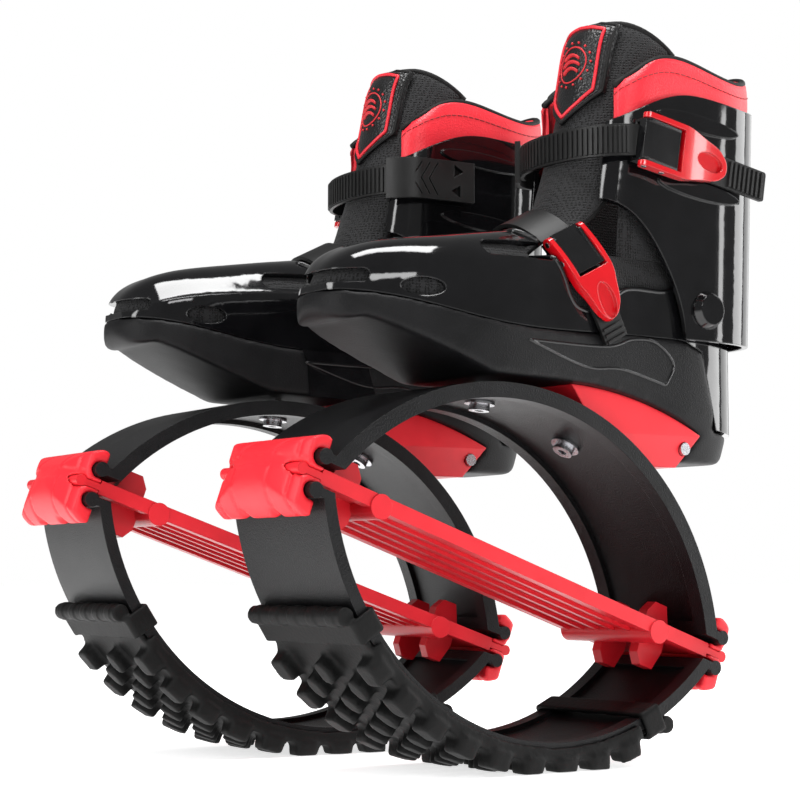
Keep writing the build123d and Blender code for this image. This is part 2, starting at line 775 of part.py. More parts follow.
# Glossy lower boot shell
with BuildPart() as boot_shell:
    add(foot_solid(0, heel_z).part)
    with BuildSketch(side):
        draw_above(0)
    extrude(amount=boot_width, both=True, mode=Mode.INTERSECT)
    add(foot_room(shell_wall).part, mode=Mode.SUBTRACT)
    # Open top: the throat falls from the instep to the ankle, then rises to the heel
    with BuildSketch(side):
        with BuildLine():
            rim = Spline(
                (throat_start, sole_top + quarter_top + throat_rise),
                (-instep_back * 0.50, sole_top + quarter_top * 1.77),
                (-instep_back * 0.84, sole_top + quarter_top * 1.37),
                (-instep_back * 1.02, sole_top + quarter_top * 1.03),
                (-instep_back * 1.18, sole_top + quarter_top * 0.68),
                (-instep_back * 1.45, sole_top + quarter_dip),
                (-instep_back * 2.14, sole_top + quarter_dip),
                (-cuff_oval_centre * 0.8, sole_top + quarter_top * 0.95),
                (-cuff_oval_centre * 1.15, sole_top + quarter_top),
                (-pivot_back, sole_top + ankle_top),
            )
            Polyline(
                rim @ 1,
                (-heel_back - heel_radius, sole_top + ankle_top),
                (-heel_back - heel_radius, overrun),
                (throat_start, overrun),
                rim @ 0,
            )
        make_face()
    extrude(amount=boot_width, both=True, mode=Mode.SUBTRACT)
    # Oval vents in both walls, a long mesh window on both shoulders, a slot round the toe
    with BuildSketch(side):
        with Locations((foot_x(0.845), sole_top + vent_rise)):
            Ellipse(vent_length / 2, vent_height / 2)
    extrude(amount=boot_width, both=True, mode=Mode.SUBTRACT)
    for hand in (-1, 1):
        shoulder = Plane(
            origin=(foot_x(0.62), 0, sole_top),
            x_dir=(1, 0, 0),
            z_dir=(0, -hand * cos(window_tilt), -sin(window_tilt)),
        )
        with BuildSketch(shoulder.offset(-boot_width)):
            with Locations((0, hand * window_across)):
                SlotOverall(window_length, window_height)
        extrude(amount=boot_width - window_inner, mode=Mode.SUBTRACT)
        toe_face = Plane(
            origin=(foot_x(0.93), 0, sole_top + toe_spring + toe_slot_rise),
            x_dir=(sin(toe_slot_turn), -hand * cos(toe_slot_turn), 0),
            z_dir=(cos(toe_slot_turn), hand * sin(toe_slot_turn), 0),
        )
        with BuildSketch(toe_face):
            SlotOverall(toe_slot_length, toe_slot_height)
        extrude(amount=boot_width, mode=Mode.SUBTRACT)
    # Flat bosses where the cuff pivots, with their rivet holes, and the hole in the heel
    boss_face = cuff_half_width - cuff_wall - slip
    for hand in (-1, 1):
        pivot_side = Plane(origin=(-pivot_back, 0, sole_top + pivot_rise), z_dir=(0, hand, 0))
        with BuildSketch(pivot_side.offset(boss_face - 2 * shell_wall)):
            Circle(pivot_boss / 2)
        extrude(amount=2 * shell_wall)
        with BuildSketch(pivot_side):
            Circle(pivot_head_diameter / 2 + slip)
        extrude(amount=boss_face - shell_wall, mode=Mode.SUBTRACT)
    with BuildSketch(side):
        with Locations((-pivot_back, sole_top + pivot_rise)):
            Circle(pivot_diameter / 2 + pivot_fit)
    extrude(amount=boot_width, both=True, mode=Mode.SUBTRACT)
    heel_spot = (-heel_back - heel_radius, 0, sole_top - heel_hole_drop)
    with BuildSketch(Plane(origin=heel_spot, z_dir=(1, 0, 0))):
        Circle(heel_hole_diameter / 2)
    extrude(amount=heel_radius + heel_hole_depth, mode=Mode.SUBTRACT)


def cuff_level(rise):
    """Share of the way up the cuff."""
    return (rise + cuff_drop) / (cuff_rise + cuff_drop)


def draw_ring_section(rise, inset, half_width):
    """Closed oval round the ankle at one height: straight sides, rounded back and front."""
    share = cuff_level(rise)
    back = cuff_back_low + (cuff_back_top - cuff_back_low) * share - inset
    front = cuff_front_low + (cuff_front_top - cuff_front_low) * share + inset
    half = half_width - inset
    with BuildLine() as outline:
        side_back = -back + half * 1.05
        Line((side_back, half), (-cuff_oval_centre, half))
        Spline(
            (-cuff_oval_centre, half),
            (-front, 0),
            (-cuff_oval_centre, -half),
            tangents=((1, 0), (-1, 0)),
        )
        Line((-cuff_oval_centre, -half), (side_back, -half))
        Spline((side_back, -half), (-back, 0), (side_back, half), tangents=((-1, 0), (1, 0)))
    make_face(outline.edges())


def ankle_solid(low, high, inset, half_width=cuff_half_width):
    """Solid of the ankle form between two heights above the sole."""
    with BuildPart() as form:
        for rise in (low, (low + high) / 2, high):
            with BuildSketch(Plane.XY.offset(sole_top + rise)):
                draw_ring_section(rise, inset, half_width)
        loft()
    return form


# Cuff: a shell round the ankle, open in front, pivoting on the boot shell
with BuildPart() as cuff:
    add(ankle_solid(-cuff_drop, cuff_rise, 0).part)
    add(ankle_solid(-cuff_drop - cuff_wall, cuff_rise + cuff_wall, cuff_wall).part, mode=Mode.SUBTRACT)
    with BuildSketch(Plane.XY.offset(sole_top - cuff_drop)):
        with Locations((-cuff_oval_centre, 0)):
            Rectangle(boot_length, 2 * cuff_gap_half, align=(Align.MIN, Align.CENTER))
    extrude(amount=cuff_rise + cuff_drop, mode=Mode.SUBTRACT)
    # The front edge falls back towards the pivots
    with BuildSketch(side):
        with BuildLine():
            edge = Spline(
                (-pivot_back + pivot_boss * 0.7, sole_top - 2 * cuff_drop),
                (-pivot_back + pivot_boss * 0.75, sole_top + 0.08 * cuff_rise),
                (-pivot_back + pivot_boss * 1.35, sole_top + 0.31 * cuff_rise),
                (-cuff_oval_centre + cuff_half_width * 0.45, sole_top + 0.51 * cuff_rise),
                (-cuff_oval_centre + cuff_half_width, sole_top + 0.58 * cuff_rise),
            )
            Polyline(
                edge @ 1,
                (boot_width, sole_top + 0.58 * cuff_rise),
                (boot_width, sole_top - 2 * cuff_drop),
                edge @ 0,
            )
        make_face()
    extrude(amount=boot_width, both=True, mode=Mode.SUBTRACT)
    # The top edge dips in front
    with BuildSketch(side):
        with BuildLine():
            brim = Spline(
                (0, sole_top + 0.74 * cuff_rise),
                (-cuff_front_top, sole_top + 0.87 * cuff_rise),
                (-cuff_oval_centre - cuff_half_width * 0.5, sole_top + 0.99 * cuff_rise),
                (-cuff_back_low + cuff_half_width * 0.4, sole_top + 0.975 * cuff_rise),
                (-cuff_back_top - cuff_wall, sole_top + cuff_rise),
            )
            Polyline(brim @ 1, (-cuff_back_top - cuff_wall, 2 * overrun), (0, 2 * overrun), brim @ 0)
        make_face()
    extrude(amount=boot_width, both=True, mode=Mode.SUBTRACT)
    # Lens-shaped raised ribs on both sides
    for rib_rise in cuff_rib_rises:
        with BuildSketch(side):
            with Locations((-pivot_back + cuff_rib_length * 0.1, sole_top + rib_rise)):
                with Locations(Rotation(0, 0, cuff_rib_lean)):
                    Ellipse(cuff_rib_length / 2, cuff_rib_height / 2)
        extrude(amount=cuff_half_width + cuff_rib_depth, both=True)
    add(ankle_solid(-2 * cuff_drop, 2 * cuff_rise, cuff_wall).part, mode=Mode.SUBTRACT)
    with BuildSketch(side):
        with Locations((-pivot_back, sole_top + pivot_rise)):
            Circle(pivot_diameter / 2 + pivot_fit)
    extrude(amount=boot_width, both=True, mode=Mode.SUBTRACT)

# Domed pivot rivets: a shank through cuff and shell, a round cap outside, a head inside
with BuildPart() as cuff_pivots:
    inner_face = cuff_half_width - cuff_wall - slip - shell_wall
    for hand in (-1, 1):
        pivot_plane = Plane(origin=(-pivot_back, 0, sole_top + pivot_rise), z_dir=(0, hand, 0))
        with BuildSketch(pivot_plane.offset(inner_face - pivot_head_height)):
            Circle(pivot_head_diameter / 2)
        extrude(amount=pivot_head_height)
        with BuildSketch(pivot_plane.offset(inner_face)):
            Circle(pivot_diameter / 2)
        extrude(amount=cuff_half_width - inner_face + slip)
        with BuildSketch(pivot_plane.offset(cuff_half_width + slip)):
            Circle(pivot_cap_diameter / 2)
        extrude(amount=pivot_cap_height, taper=pivot_cap_draft)

# Insole on the liner's floor
with BuildPart() as insole:
    add(foot_room(shell_wall + liner_wall + slip).part)
    with BuildSketch(side):
        draw_above(shell_wall + liner_wall + insole_thickness)
    extrude(amount=boot_width, both=True, mode=Mode.SUBTRACT)

# Liner: a padded bootie inside the shell, with a shaft round the ankle that is open in front
with BuildPart() as liner:
    add(foot_room(shell_wall + slip).part)
    with BuildSketch(side):
        with BuildLine():
            Polyline(
                (-liner_throat_x, overrun),
                (-liner_throat_x, sole_top + liner_throat),
                (-liner_step_x, sole_top + liner_throat),
                (-liner_step_x, sole_top + ankle_top + 2 * slip),
                (-overrun, sole_top + ankle_top + 2 * slip),
                (-overrun, overrun),
                close=True,
            )
        make_face()
    extrude(amount=boot_width, both=True, mode=Mode.SUBTRACT)
    shaft_low = ankle_top + slip
    shaft_inset = cuff_wall + liner_pull
    add(ankle_solid(shaft_low, liner_top, shaft_inset).part)
    add(foot_room(shell_wall + liner_wall).part, mode=Mode.SUBTRACT)
    inner_inset = shaft_inset + liner_wall
    add(ankle_solid(shaft_low - liner_wall, 2 * liner_top, inner_inset).part, mode=Mode.SUBTRACT)
    with BuildSketch(Plane.XY.offset(sole_top + shaft_low)):
        with Locations((-cuff_oval_centre, 0)):
            Rectangle(boot_length, 2 * (tongue_half_width + tongue_clear), align=(Align.MIN, Align.CENTER))
    extrude(amount=liner_top, mode=Mode.SUBTRACT)

# Red padded collar inside the cuff, rising to a tab at the heel
with BuildPart() as collar:
    add(ankle_solid(collar_low, collar_tab, cuff_wall + slip).part)
    add(ankle_solid(0, 2 * collar_tab, cuff_wall + slip + collar_wall).part, mode=Mode.SUBTRACT)
    with BuildSketch(Plane.XY.offset(sole_top)):
        with Locations((-cuff_oval_centre, 0)):
            Rectangle(boot_length, 2 * cuff_gap_half, align=(Align.MIN, Align.CENTER))
    extrude(amount=overrun, mode=Mode.SUBTRACT)
    with BuildSketch(side):
        with BuildLine():
            crest = Spline(
                (-cuff_oval_centre + cuff_half_width * 0.9, sole_top + collar_low),
                (-cuff_oval_centre + cuff_half_width * 0.2, sole_top + collar_top * 0.93),
                (-cuff_oval_centre - cuff_half_width * 0.3, sole_top + collar_top),
                (-cuff_back_low + cuff_half_width * 0.5, sole_top + collar_top * 0.955),
                (-cuff_back_top, sole_top + collar_tab),
            )
            Polyline(
                crest @ 1,
                (-cuff_back_top, 2 * overrun),
                (0, 2 * overrun),
                (0, sole_top + collar_low),
                crest @ 0,
            )
        make_face()
    extrude(amount=boot_width, both=True, mode=Mode.SUBTRACT)

# Tongue: a padded plate bent round the shin, leaning back to the top
tongue_shares = (
    (-0.15, -0.24, 0.66, 0.24),
    (0.00, 0.10, 0.75, 0.30),
    (0.10, 0.42, 0.85, 0.55),
    (0.30, 0.58, 0.95, 0.95),
    (0.52, 0.71, 1.00, 1.10),
    (0.78, 0.84, 1.00, 1.22),
    (1.00, 1.00, 1.00, 1.40),
)


def tongue_solid(outset, wall):
    """Crescent plate lofted up the shin."""
    with BuildPart() as form:
        for rise, lean, wide, wrap in tongue_shares:
            level = sole_top + tongue_low + (tongue_high - tongue_low) * rise
            front = -tongue_front - (tongue_back - tongue_front) * lean + outset
            across = tongue_half_width * wide + outset
            deep = tongue_half_width * wrap + outset
            with BuildSketch(Plane.XY.offset(level)):
                with BuildLine():
                    centre = (front - deep, 0)
                    outer = EllipticalCenterArc(centre, deep, across, -90, arc_size=180)
                    inner = EllipticalCenterArc(centre, deep - wall, across - wall, -90, arc_size=180)
                    Line(outer @ 0, inner @ 0)
                    Line(outer @ 1, inner @ 1)
                make_face()
        loft()
    return form


with BuildPart() as tongue:
    add(tongue_solid(0, tongue_wall).part)
    # The top edge falls away to the back on both wings
    with BuildSketch(side):
        with BuildLine():
            brow = ThreePointArc(
                (-tongue_back - tongue_half_width * 0.35, sole_top + tongue_high),
                (-tongue_back - tongue_half_width, sole_top + tongue_high - tongue_trim * 0.3),
                (-tongue_back - tongue_half_width * 1.6, sole_top + tongue_high - tongue_trim),
            )
            Polyline(
                brow @ 1,
                (-tongue_back - tongue_half_width * 1.6, 2 * overrun),
                (-tongue_back - tongue_half_width * 0.35, 2 * overrun),
                brow @ 0,
            )
        make_face()
    extrude(amount=boot_width, both=True, mode=Mode.SUBTRACT)

# Shield-shaped leather patch on the tongue
with BuildPart() as tongue_patch:
    add(tongue_solid(patch_wall + slip, patch_wall).part)
    with BuildSketch(Plane.YZ):
        with BuildLine():
            patch_line = Polyline(
                (0, sole_top + patch_low),
                (patch_half_width, sole_top + patch_low + patch_half_width * 0.8),
                (patch_half_width, sole_top + patch_high),
            )
            arch = ThreePointArc(
                patch_line @ 1,
                (0, sole_top + patch_high + patch_half_width * 0.15),
                (-patch_half_width, sole_top + patch_high),
            )
            Polyline(
                arch @ 1,
                (-patch_half_width, sole_top + patch_low + patch_half_width * 0.8),
                patch_line @ 0,
            )
        make_face()
    extrude(amount=overrun, both=True, mode=Mode.INTERSECT)


# Upper ladder strap: from the inner anchor round the shin, then sloping down to its free tail
strap_inside = cuff_half_width + buckle_floor + 2 * slip
strap_outside = strap_inside + strap_thickness
strap_z = sole_top + upper_strap_level
strap_turn = radians(strap_slope)
strap_run = (upper_strap_tail - strap_bend) / cos(strap_turn)
strap_bow = strap_bend - strap_front
strap_way = (-cos(strap_turn), 0, -sin(strap_turn))
strap_side = Plane(origin=(-strap_bend, strap_outside, strap_z), x_dir=strap_way, z_dir=(0, 1, 0))
tooth_step = degrees(tooth_pitch / strap_inside)
tooth_turns = [tooth_step * (tooth - teeth_behind) for tooth in range(front_teeth)]


def draw_strap_bow(outside, thickness, first, size, back=0):
    """Part of the oval round the shin, seen from above, run on straight at its start."""
    with BuildLine() as outline:
        centre = (-strap_bend, 0)
        front = strap_bow + outside - strap_outside
        outer = EllipticalCenterArc(centre, front, outside, first, arc_size=size)
        inner = EllipticalCenterArc(centre, front - thickness, outside - thickness, first, arc_size=size)
        if back:
            Polyline(
                outer @ 0,
                (-strap_bend - back, -outside),
                (-strap_bend - back, thickness - outside),
                inner @ 0,
            )
        else:
            Line(outer @ 0, inner @ 0)
        Line(outer @ 1, inner @ 1)
    make_face(outline.edges())


def bow_plane(turn, outside):
    """Plane on the strap's oval at one angle, Z outward and Y up."""
    way = radians(turn)
    front = strap_bow + outside - strap_outside
    spot = (front * cos(way) - strap_bend, outside * sin(way), strap_z)
    out = Vector(outside * cos(way), front * sin(way), 0).normalized()
    return Plane(origin=spot, x_dir=Vector(0, 0, 1).cross(out), z_dir=out)


with BuildPart() as upper_strap:
    with BuildSketch(Plane.XY.offset(strap_z - upper_strap_height / 2)):
        draw_strap_bow(strap_outside, strap_thickness, -anchor_hidden, anchor_hidden + 90)
    extrude(amount=upper_strap_height)
    with BuildSketch(strap_side):
        with Locations((-upper_strap_height / 8, 0)):
            RectangleRounded(
                strap_run + upper_strap_height / 8,
                upper_strap_height,
                upper_strap_height / 10,
                align=(Align.MIN, Align.CENTER),
            )
    extrude(amount=-strap_thickness)
    # Ratchet teeth across the front, from the anchor to the buckle, and on the tail
    teeth = [bow_plane(turn, strap_outside - slip) for turn in tooth_turns]
    with BuildSketch(*teeth):
        Rectangle(tooth_width, upper_strap_height * 0.86)
    extrude(amount=tooth_height + slip)
    with BuildSketch(strap_side.offset(-slip)):
        for tooth in range(tail_teeth):
            with Locations((strap_run - tooth_pitch * (tooth + 1), 0)):
                Rectangle(tooth_width, upper_strap_height * 0.86)
    extrude(amount=tooth_height + slip)

# Fixed end of the upper strap on the inner side: a band over the strap's end, seated on the cuff
with BuildPart() as strap_anchor:
    anchor_outside = strap_outside + slip + anchor_thickness
    with BuildSketch(Plane.XY.offset(strap_z - anchor_height / 2)):
        draw_strap_bow(anchor_outside, anchor_thickness, -90, anchor_sweep, anchor_back - strap_bend)
    extrude(amount=anchor_height)
    with BuildSketch(Plane.XZ.offset(anchor_outside - anchor_thickness)):
        with Locations((-anchor_back, strap_z)):
            Rectangle(anchor_pad_length, anchor_pad_height, align=(Align.MIN, Align.CENTER))
    extrude(amount=-(anchor_outside - anchor_thickness - cuff_half_width - slip))
    # Two triangular holes and three chevron grooves
    for hand in (-1, 1):
        with BuildSketch(Plane.XZ.offset(anchor_outside)):
            with Locations((-anchor_back + anchor_height / 2, strap_z + hand * anchor_height / 4)):
                Triangle(a=anchor_hole, B=60, C=60, rotation=hand * 90)
        extrude(amount=-anchor_thickness, mode=Mode.SUBTRACT)
    with BuildSketch(Plane.XZ.offset(anchor_outside - anchor_groove)):
        for step in range(3):
            start = -strap_bend + anchor_groove - anchor_hole * 0.7 * step
            with BuildLine():
                Polyline(
                    (start, strap_z + anchor_height * 0.4),
                    (start + anchor_groove, strap_z + anchor_height * 0.4),
                    (start + anchor_height / 4 + anchor_groove, strap_z),
                    (start + anchor_groove, strap_z - anchor_height * 0.4),
                    (start, strap_z - anchor_height * 0.4),
                    (start + anchor_height / 4, strap_z),
                    close=True,
                )
            make_face()
    extrude(amount=2 * anchor_groove, mode=Mode.SUBTRACT)

# Instep strap: an arch over the instep in a leaning plane, from the inner side to the buckle
lean_turn = radians(instep_slope)
instep_plane = Plane(
    origin=(-instep_back, instep_shift, sole_top + instep_top),
    x_dir=(0, 1, 0),
    z_dir=(cos(lean_turn), 0, -sin(lean_turn)),
)
seat_turn = radians(instep_buckle_turn)
arch_wide = instep_half_width + strap_thickness
arch_high = instep_drop + strap_thickness
seat_slope = sqrt((arch_wide * sin(seat_turn)) ** 2 + (arch_high * cos(seat_turn)) ** 2)
base_sweep = degrees(buckle_cheek_length / seat_slope)
base_end_turn = instep_buckle_turn + base_sweep / 2


def draw_arch(outset, thickness, first, size, tail=0):
    """Strip of the arch between two angles, run on straight below its start."""
    with BuildLine() as outline:
        centre = (0, -instep_drop)
        inner = EllipticalCenterArc(
            centre, instep_half_width + outset, instep_drop + outset, first, arc_size=size
        )
        outset += thickness
        outer = EllipticalCenterArc(
            centre, instep_half_width + outset, instep_drop + outset, first, arc_size=size
        )
        if tail:
            Polyline(inner @ 0, inner @ 0 - Vector(0, tail), outer @ 0 - Vector(0, tail), outer @ 0)
        else:
            Line(inner @ 0, outer @ 0)
        Line(inner @ 1, outer @ 1)
    make_face(outline.edges())


with BuildPart() as instep_strap:
    with BuildSketch(instep_plane):
        draw_arch(0, strap_thickness, base_end_turn - strap_overlap, 2 * strap_overlap)
    extrude(amount=ladder_width / 2, both=True)
    with BuildSketch(instep_plane):
        draw_arch(0, strap_thickness, base_end_turn + strap_gap, 180 - base_end_turn - strap_gap)
        with Locations((-instep_half_width - strap_thickness / 2, -instep_drop - instep_tail / 2)):
            Rectangle(strap_thickness, instep_tail)
    extrude(amount=instep_width / 2, both=True)

# Short ladder strap that comes up from the sole into the instep buckle
ladder_top = base_end_turn - 2 * strap_overlap
with BuildPart() as instep_ladder:
    with BuildSketch(instep_plane):
        draw_arch(0, strap_thickness, 0, ladder_top, instep_tail)
    extrude(amount=ladder_width / 2, both=True)
    with BuildSketch(instep_plane):
        for tooth in range(ladder_teeth):
            tooth_spot = tooth_pitch * tooth - instep_drop - instep_tail
            with Locations((instep_half_width + strap_thickness, tooth_spot)):
                Rectangle(2 * tooth_height, tooth_width, align=(Align.CENTER, Align.MIN))
    extrude(amount=ladder_width * 0.43, both=True)


def arch_plane(turn, outset):
    """Plane on the arch at one angle: X down the strap, Z outward, Y across it."""
    way = radians(turn)
    wide = instep_half_width + outset
    high = instep_drop + outset
    out = (instep_plane.x_dir * (high * cos(way)) + instep_plane.y_dir * (wide * sin(way))).normalized()
    down = (instep_plane.x_dir * (wide * sin(way)) - instep_plane.y_dir * (high * cos(way))).normalized()
    middle = instep_plane.origin - instep_plane.y_dir * instep_drop
    spot = middle + instep_plane.x_dir * (wide * cos(way)) + instep_plane.y_dir * (high * sin(way))
    return Plane(origin=spot, x_dir=down, z_dir=out)


def shifted(plane, along, across, out):
    """The same plane moved along its own three directions."""
    spot = plane.origin + plane.x_dir * along + plane.y_dir * across + plane.z_dir * out
    return Plane(origin=spot, x_dir=plane.x_dir, z_dir=plane.z_dir)


def buckle_base(seat, strap_width, sink):
    """Ratchet body on its pin's plane: two cheeks, a cover over the pawl and a cross floor."""
    cheek_in = strap_width / 2 + slip
    cheek_out = cheek_in + buckle_cheek
    low = strap_thickness + slip + buckle_floor + sink
    with BuildPart() as base:
        for hand in (-1, 1):
            cheek = shifted(seat, 0, hand * (cheek_in + buckle_cheek / 2), 0)
            wall = Plane(origin=cheek.origin, x_dir=seat.x_dir, z_dir=seat.x_dir.cross(seat.z_dir))
            with BuildSketch(wall):
                with BuildLine():
                    Polyline(
                        (-buckle_axle, -low),
                        (-buckle_axle, buckle_axle),
                        (0, 2 * buckle_axle - slip),
                        (buckle_cheek_length - buckle_axle, buckle_cover_rise),
                        (buckle_cheek_length - buckle_axle, -low),
                        close=True,
                    )
                make_face()
            extrude(amount=buckle_cheek / 2, both=True)
        with BuildSketch(shifted(seat, buckle_cheek_length / 2 - buckle_axle, 0, slip)):
            Rectangle(buckle_cheek_length, 2 * cheek_in + buckle_cheek)
        extrude(amount=buckle_cover_rise - slip)
        with BuildSketch(shifted(seat, buckle_cheek_length / 2 - buckle_axle, 0, -low)):
            Rectangle(buckle_cheek_length, 2 * cheek_in + buckle_cheek)
        extrude(amount=buckle_floor)
        hinge = shifted(seat, 0, 0, buckle_axle)
        with BuildSketch(Plane(origin=hinge.origin, x_dir=seat.x_dir, z_dir=seat.x_dir.cross(seat.z_dir))):
            Circle(buckle_pin_diameter / 2 + pin_fit)
        extrude(amount=2 * cheek_out, both=True, mode=Mode.SUBTRACT)
    return base


def buckle_lever(seat, strap_width, middle, tip):
    """Lever: two arms joined by a tapered grip over the strap, with a finger scoop.
    Middle and tip are places on the strap's face under it, along and out."""
    length, droop = tip[0], -tip[1]
    inside = strap_width / 2 + 2 * slip + buckle_cheek
    outside = inside + buckle_arm
    turned = Plane(origin=seat.origin, x_dir=seat.x_dir, z_dir=seat.x_dir.cross(seat.z_dir))
    window = buckle_cheek_length - buckle_axle + slip + tooth_width
    with BuildPart() as lever:
        with BuildSketch(turned):
            with BuildLine():
                lift = tooth_height + slip
                top = ThreePointArc(
                    (0, buckle_axle + buckle_arm_height / 2),
                    (middle[0], buckle_arm_height + middle[1]),
                    (length, buckle_tip_height + lift - droop),
                )
                under = ThreePointArc(
                    (length, lift - droop),
                    (middle[0], lift + middle[1]),
                    (0, buckle_axle - buckle_arm_height / 2 + slip),
                )
                Line(top @ 1, under @ 0)
                ThreePointArc(under @ 1, (-buckle_arm_height / 2, buckle_axle), top @ 0)
            make_face()
        extrude(amount=outside, both=True)
        with BuildSketch(seat):
            with BuildLine():
                for hand in (1, -1):
                    Line((-buckle_arm_height, hand * outside), (window, hand * outside))
                    Spline(
                        (window, hand * outside),
                        (window + (length - window) * 0.45, hand * outside * 0.78),
                        (length - buckle_tip_width * 0.3, hand * buckle_tip_width / 2),
                        tangents=((1, 0), (1, -hand)),
                    )
                ThreePointArc(
                    (length - buckle_tip_width * 0.3, buckle_tip_width / 2),
                    (length, 0),
                    (length - buckle_tip_width * 0.3, -buckle_tip_width / 2),
                )
                Line((-buckle_arm_height, outside), (-buckle_arm_height, -outside))
            make_face()
        extrude(amount=overrun, both=True, mode=Mode.INTERSECT)
        with BuildSketch(seat):
            Rectangle(2 * window, 2 * inside)
        extrude(amount=overrun, both=True, mode=Mode.SUBTRACT)
        grip = (window + length) / 2 + buckle_axle
        tilt_way = atan2(buckle_axle + droop, length / 2)
        scoop = shifted(seat, grip, 0, buckle_arm_height * 0.72 - droop * 0.62)
        scoop_way = seat.x_dir * cos(tilt_way) - seat.z_dir * sin(tilt_way)
        scoop_out = seat.z_dir * cos(tilt_way) + seat.x_dir * sin(tilt_way)
        scoop_floor = scoop.origin - scoop_out * scoop_depth
        with BuildSketch(Plane(origin=scoop_floor, x_dir=scoop_way, z_dir=scoop_out)):
            Ellipse(buckle_tip_width * 0.8, buckle_tip_width * 0.42)
        extrude(amount=overrun, mode=Mode.SUBTRACT)
        hinge = shifted(seat, 0, 0, buckle_axle)
        with BuildSketch(Plane(origin=hinge.origin, x_dir=turned.x_dir, z_dir=turned.z_dir)):
            Circle(buckle_pin_diameter / 2 + pin_fit)
            with Locations((buckle_pawl_reach, 0)):
                Circle(buckle_pin_diameter / 2 + pin_fit)
        extrude(amount=2 * outside, both=True, mode=Mode.SUBTRACT)
    return lever


def buckle_pins(seat, strap_width):
    """Pivot pin through arms and cheeks, and a pawl stub in each arm."""
    inside = strap_width / 2 + 2 * slip + buckle_cheek
    outside = inside + buckle_arm
    hinge = shifted(seat, 0, 0, buckle_axle)
    with BuildPart() as pins:
        turned = Plane(origin=hinge.origin, x_dir=seat.x_dir, z_dir=seat.x_dir.cross(seat.z_dir))
        with BuildSketch(turned):
            Circle(buckle_pin_diameter / 2)
        extrude(amount=outside + slip, both=True)
        for hand in (-1, 1):
            with BuildSketch(turned.offset(hand * inside)):
                with Locations((buckle_pawl_reach, 0)):
                    Circle(buckle_pin_diameter / 2)
            extrude(amount=hand * (buckle_arm + slip))
    return pins


# Upper buckle, flat on the cuff; instep buckle, on the arch and curved with it
along_upper = (strap_bend + upper_buckle_x) / cos(strap_turn)
upper_seat = shifted(strap_side, -along_upper, 0, 0)
upper_buckle_base = buckle_base(upper_seat, upper_buckle_room, 0)
upper_tip = (upper_lever_length, 0)
upper_buckle_lever = buckle_lever(upper_seat, upper_buckle_room, (upper_lever_length / 2, 0), upper_tip)
upper_buckle_pins = buckle_pins(upper_seat, upper_buckle_room)
base_middle = arch_plane(instep_buckle_turn, strap_thickness)
instep_seat = shifted(base_middle, buckle_axle - buckle_cheek_length / 2, 0, 0)
arch_bend = seat_slope**3 / (arch_wide * arch_high)
base_sag = (buckle_cheek_length / 2) ** 2 / (2 * arch_bend)


def on_seat(turn):
    """Where a point of the arch lies from the instep buckle's pin: along it and out from it."""
    way = arch_plane(turn, strap_thickness).origin - instep_seat.origin
    return (way.dot(instep_seat.x_dir), way.dot(instep_seat.z_dir))


instep_middle = on_seat((instep_buckle_turn + instep_tip_turn) / 2)
instep_buckle_base = buckle_base(instep_seat, ladder_width, base_sag)
instep_buckle_lever = buckle_lever(instep_seat, ladder_width, instep_middle, on_seat(instep_tip_turn))
instep_buckle_pins = buckle_pins(instep_seat, ladder_width)

# Both shoes stand on the floor with their toes a little out; the right one mirrors the left
left_stance = Location((-shoe_stagger / 2, shoe_spacing / 2, 0), (0, 0, toe_out))
right_stance = Location((shoe_stagger / 2, -shoe_spacing / 2, 0), (0, 0, -toe_out))
pieces = {
    "upper_shell": upper_shell,
    "lower_shell": lower_shell,
    "front_cap": front_cap,
    "rear_cap": rear_cap,
    "tension_band": tension_band,
    "tread": tread,
    "tread_clamps": tread_clamps,
    "shell_bolts": shell_bolts,
    "sole": sole,
    "heel_wedge": heel_wedge,
    "wedge_bolts": wedge_bolts,
    "boot_shell": boot_shell,
    "cuff": cuff,
    "cuff_pivots": cuff_pivots,
    "insole": insole,
    "liner": liner,
    "collar": collar,
    "tongue": tongue,
    "tongue_patch": tongue_patch,
    "upper_strap": upper_strap,
    "strap_anchor": strap_anchor,
    "upper_buckle_base": upper_buckle_base,
    "upper_buckle_lever": upper_buckle_lever,
    "upper_buckle_pins": upper_buckle_pins,
    "instep_strap": instep_strap,
    "instep_ladder": instep_ladder,
    "instep_buckle_base": instep_buckle_base,
    "instep_buckle_lever": instep_buckle_lever,
    "instep_buckle_pins": instep_buckle_pins,
}
pair = {}
for name, piece in pieces.items():
    piece.part.label = name
    pair["left_" + name] = piece.part.moved(left_stance)
    pair["right_" + name] = mirror(piece.part, about=Plane.XZ).moved(right_stance)

# The origin lies on the floor under the middle of the pair
boxes = [part.bounding_box() for part in pair.values()]
middle_x = (min(box.min.X for box in boxes) + max(box.max.X for box in boxes)) / 2
middle_y = (min(box.min.Y for box in boxes) + max(box.max.Y for box in boxes)) / 2
print("pair moved by", -middle_x, -middle_y)
for name, part in pair.items():
    placed = part.moved(Location((-middle_x, -middle_y, 0)))
    placed.label = name
    export_step(placed, f"parts/{name}.step")
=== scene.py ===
import math

import bpy
import numpy as np
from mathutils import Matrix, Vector
from mathutils.bvhtree import BVHTree


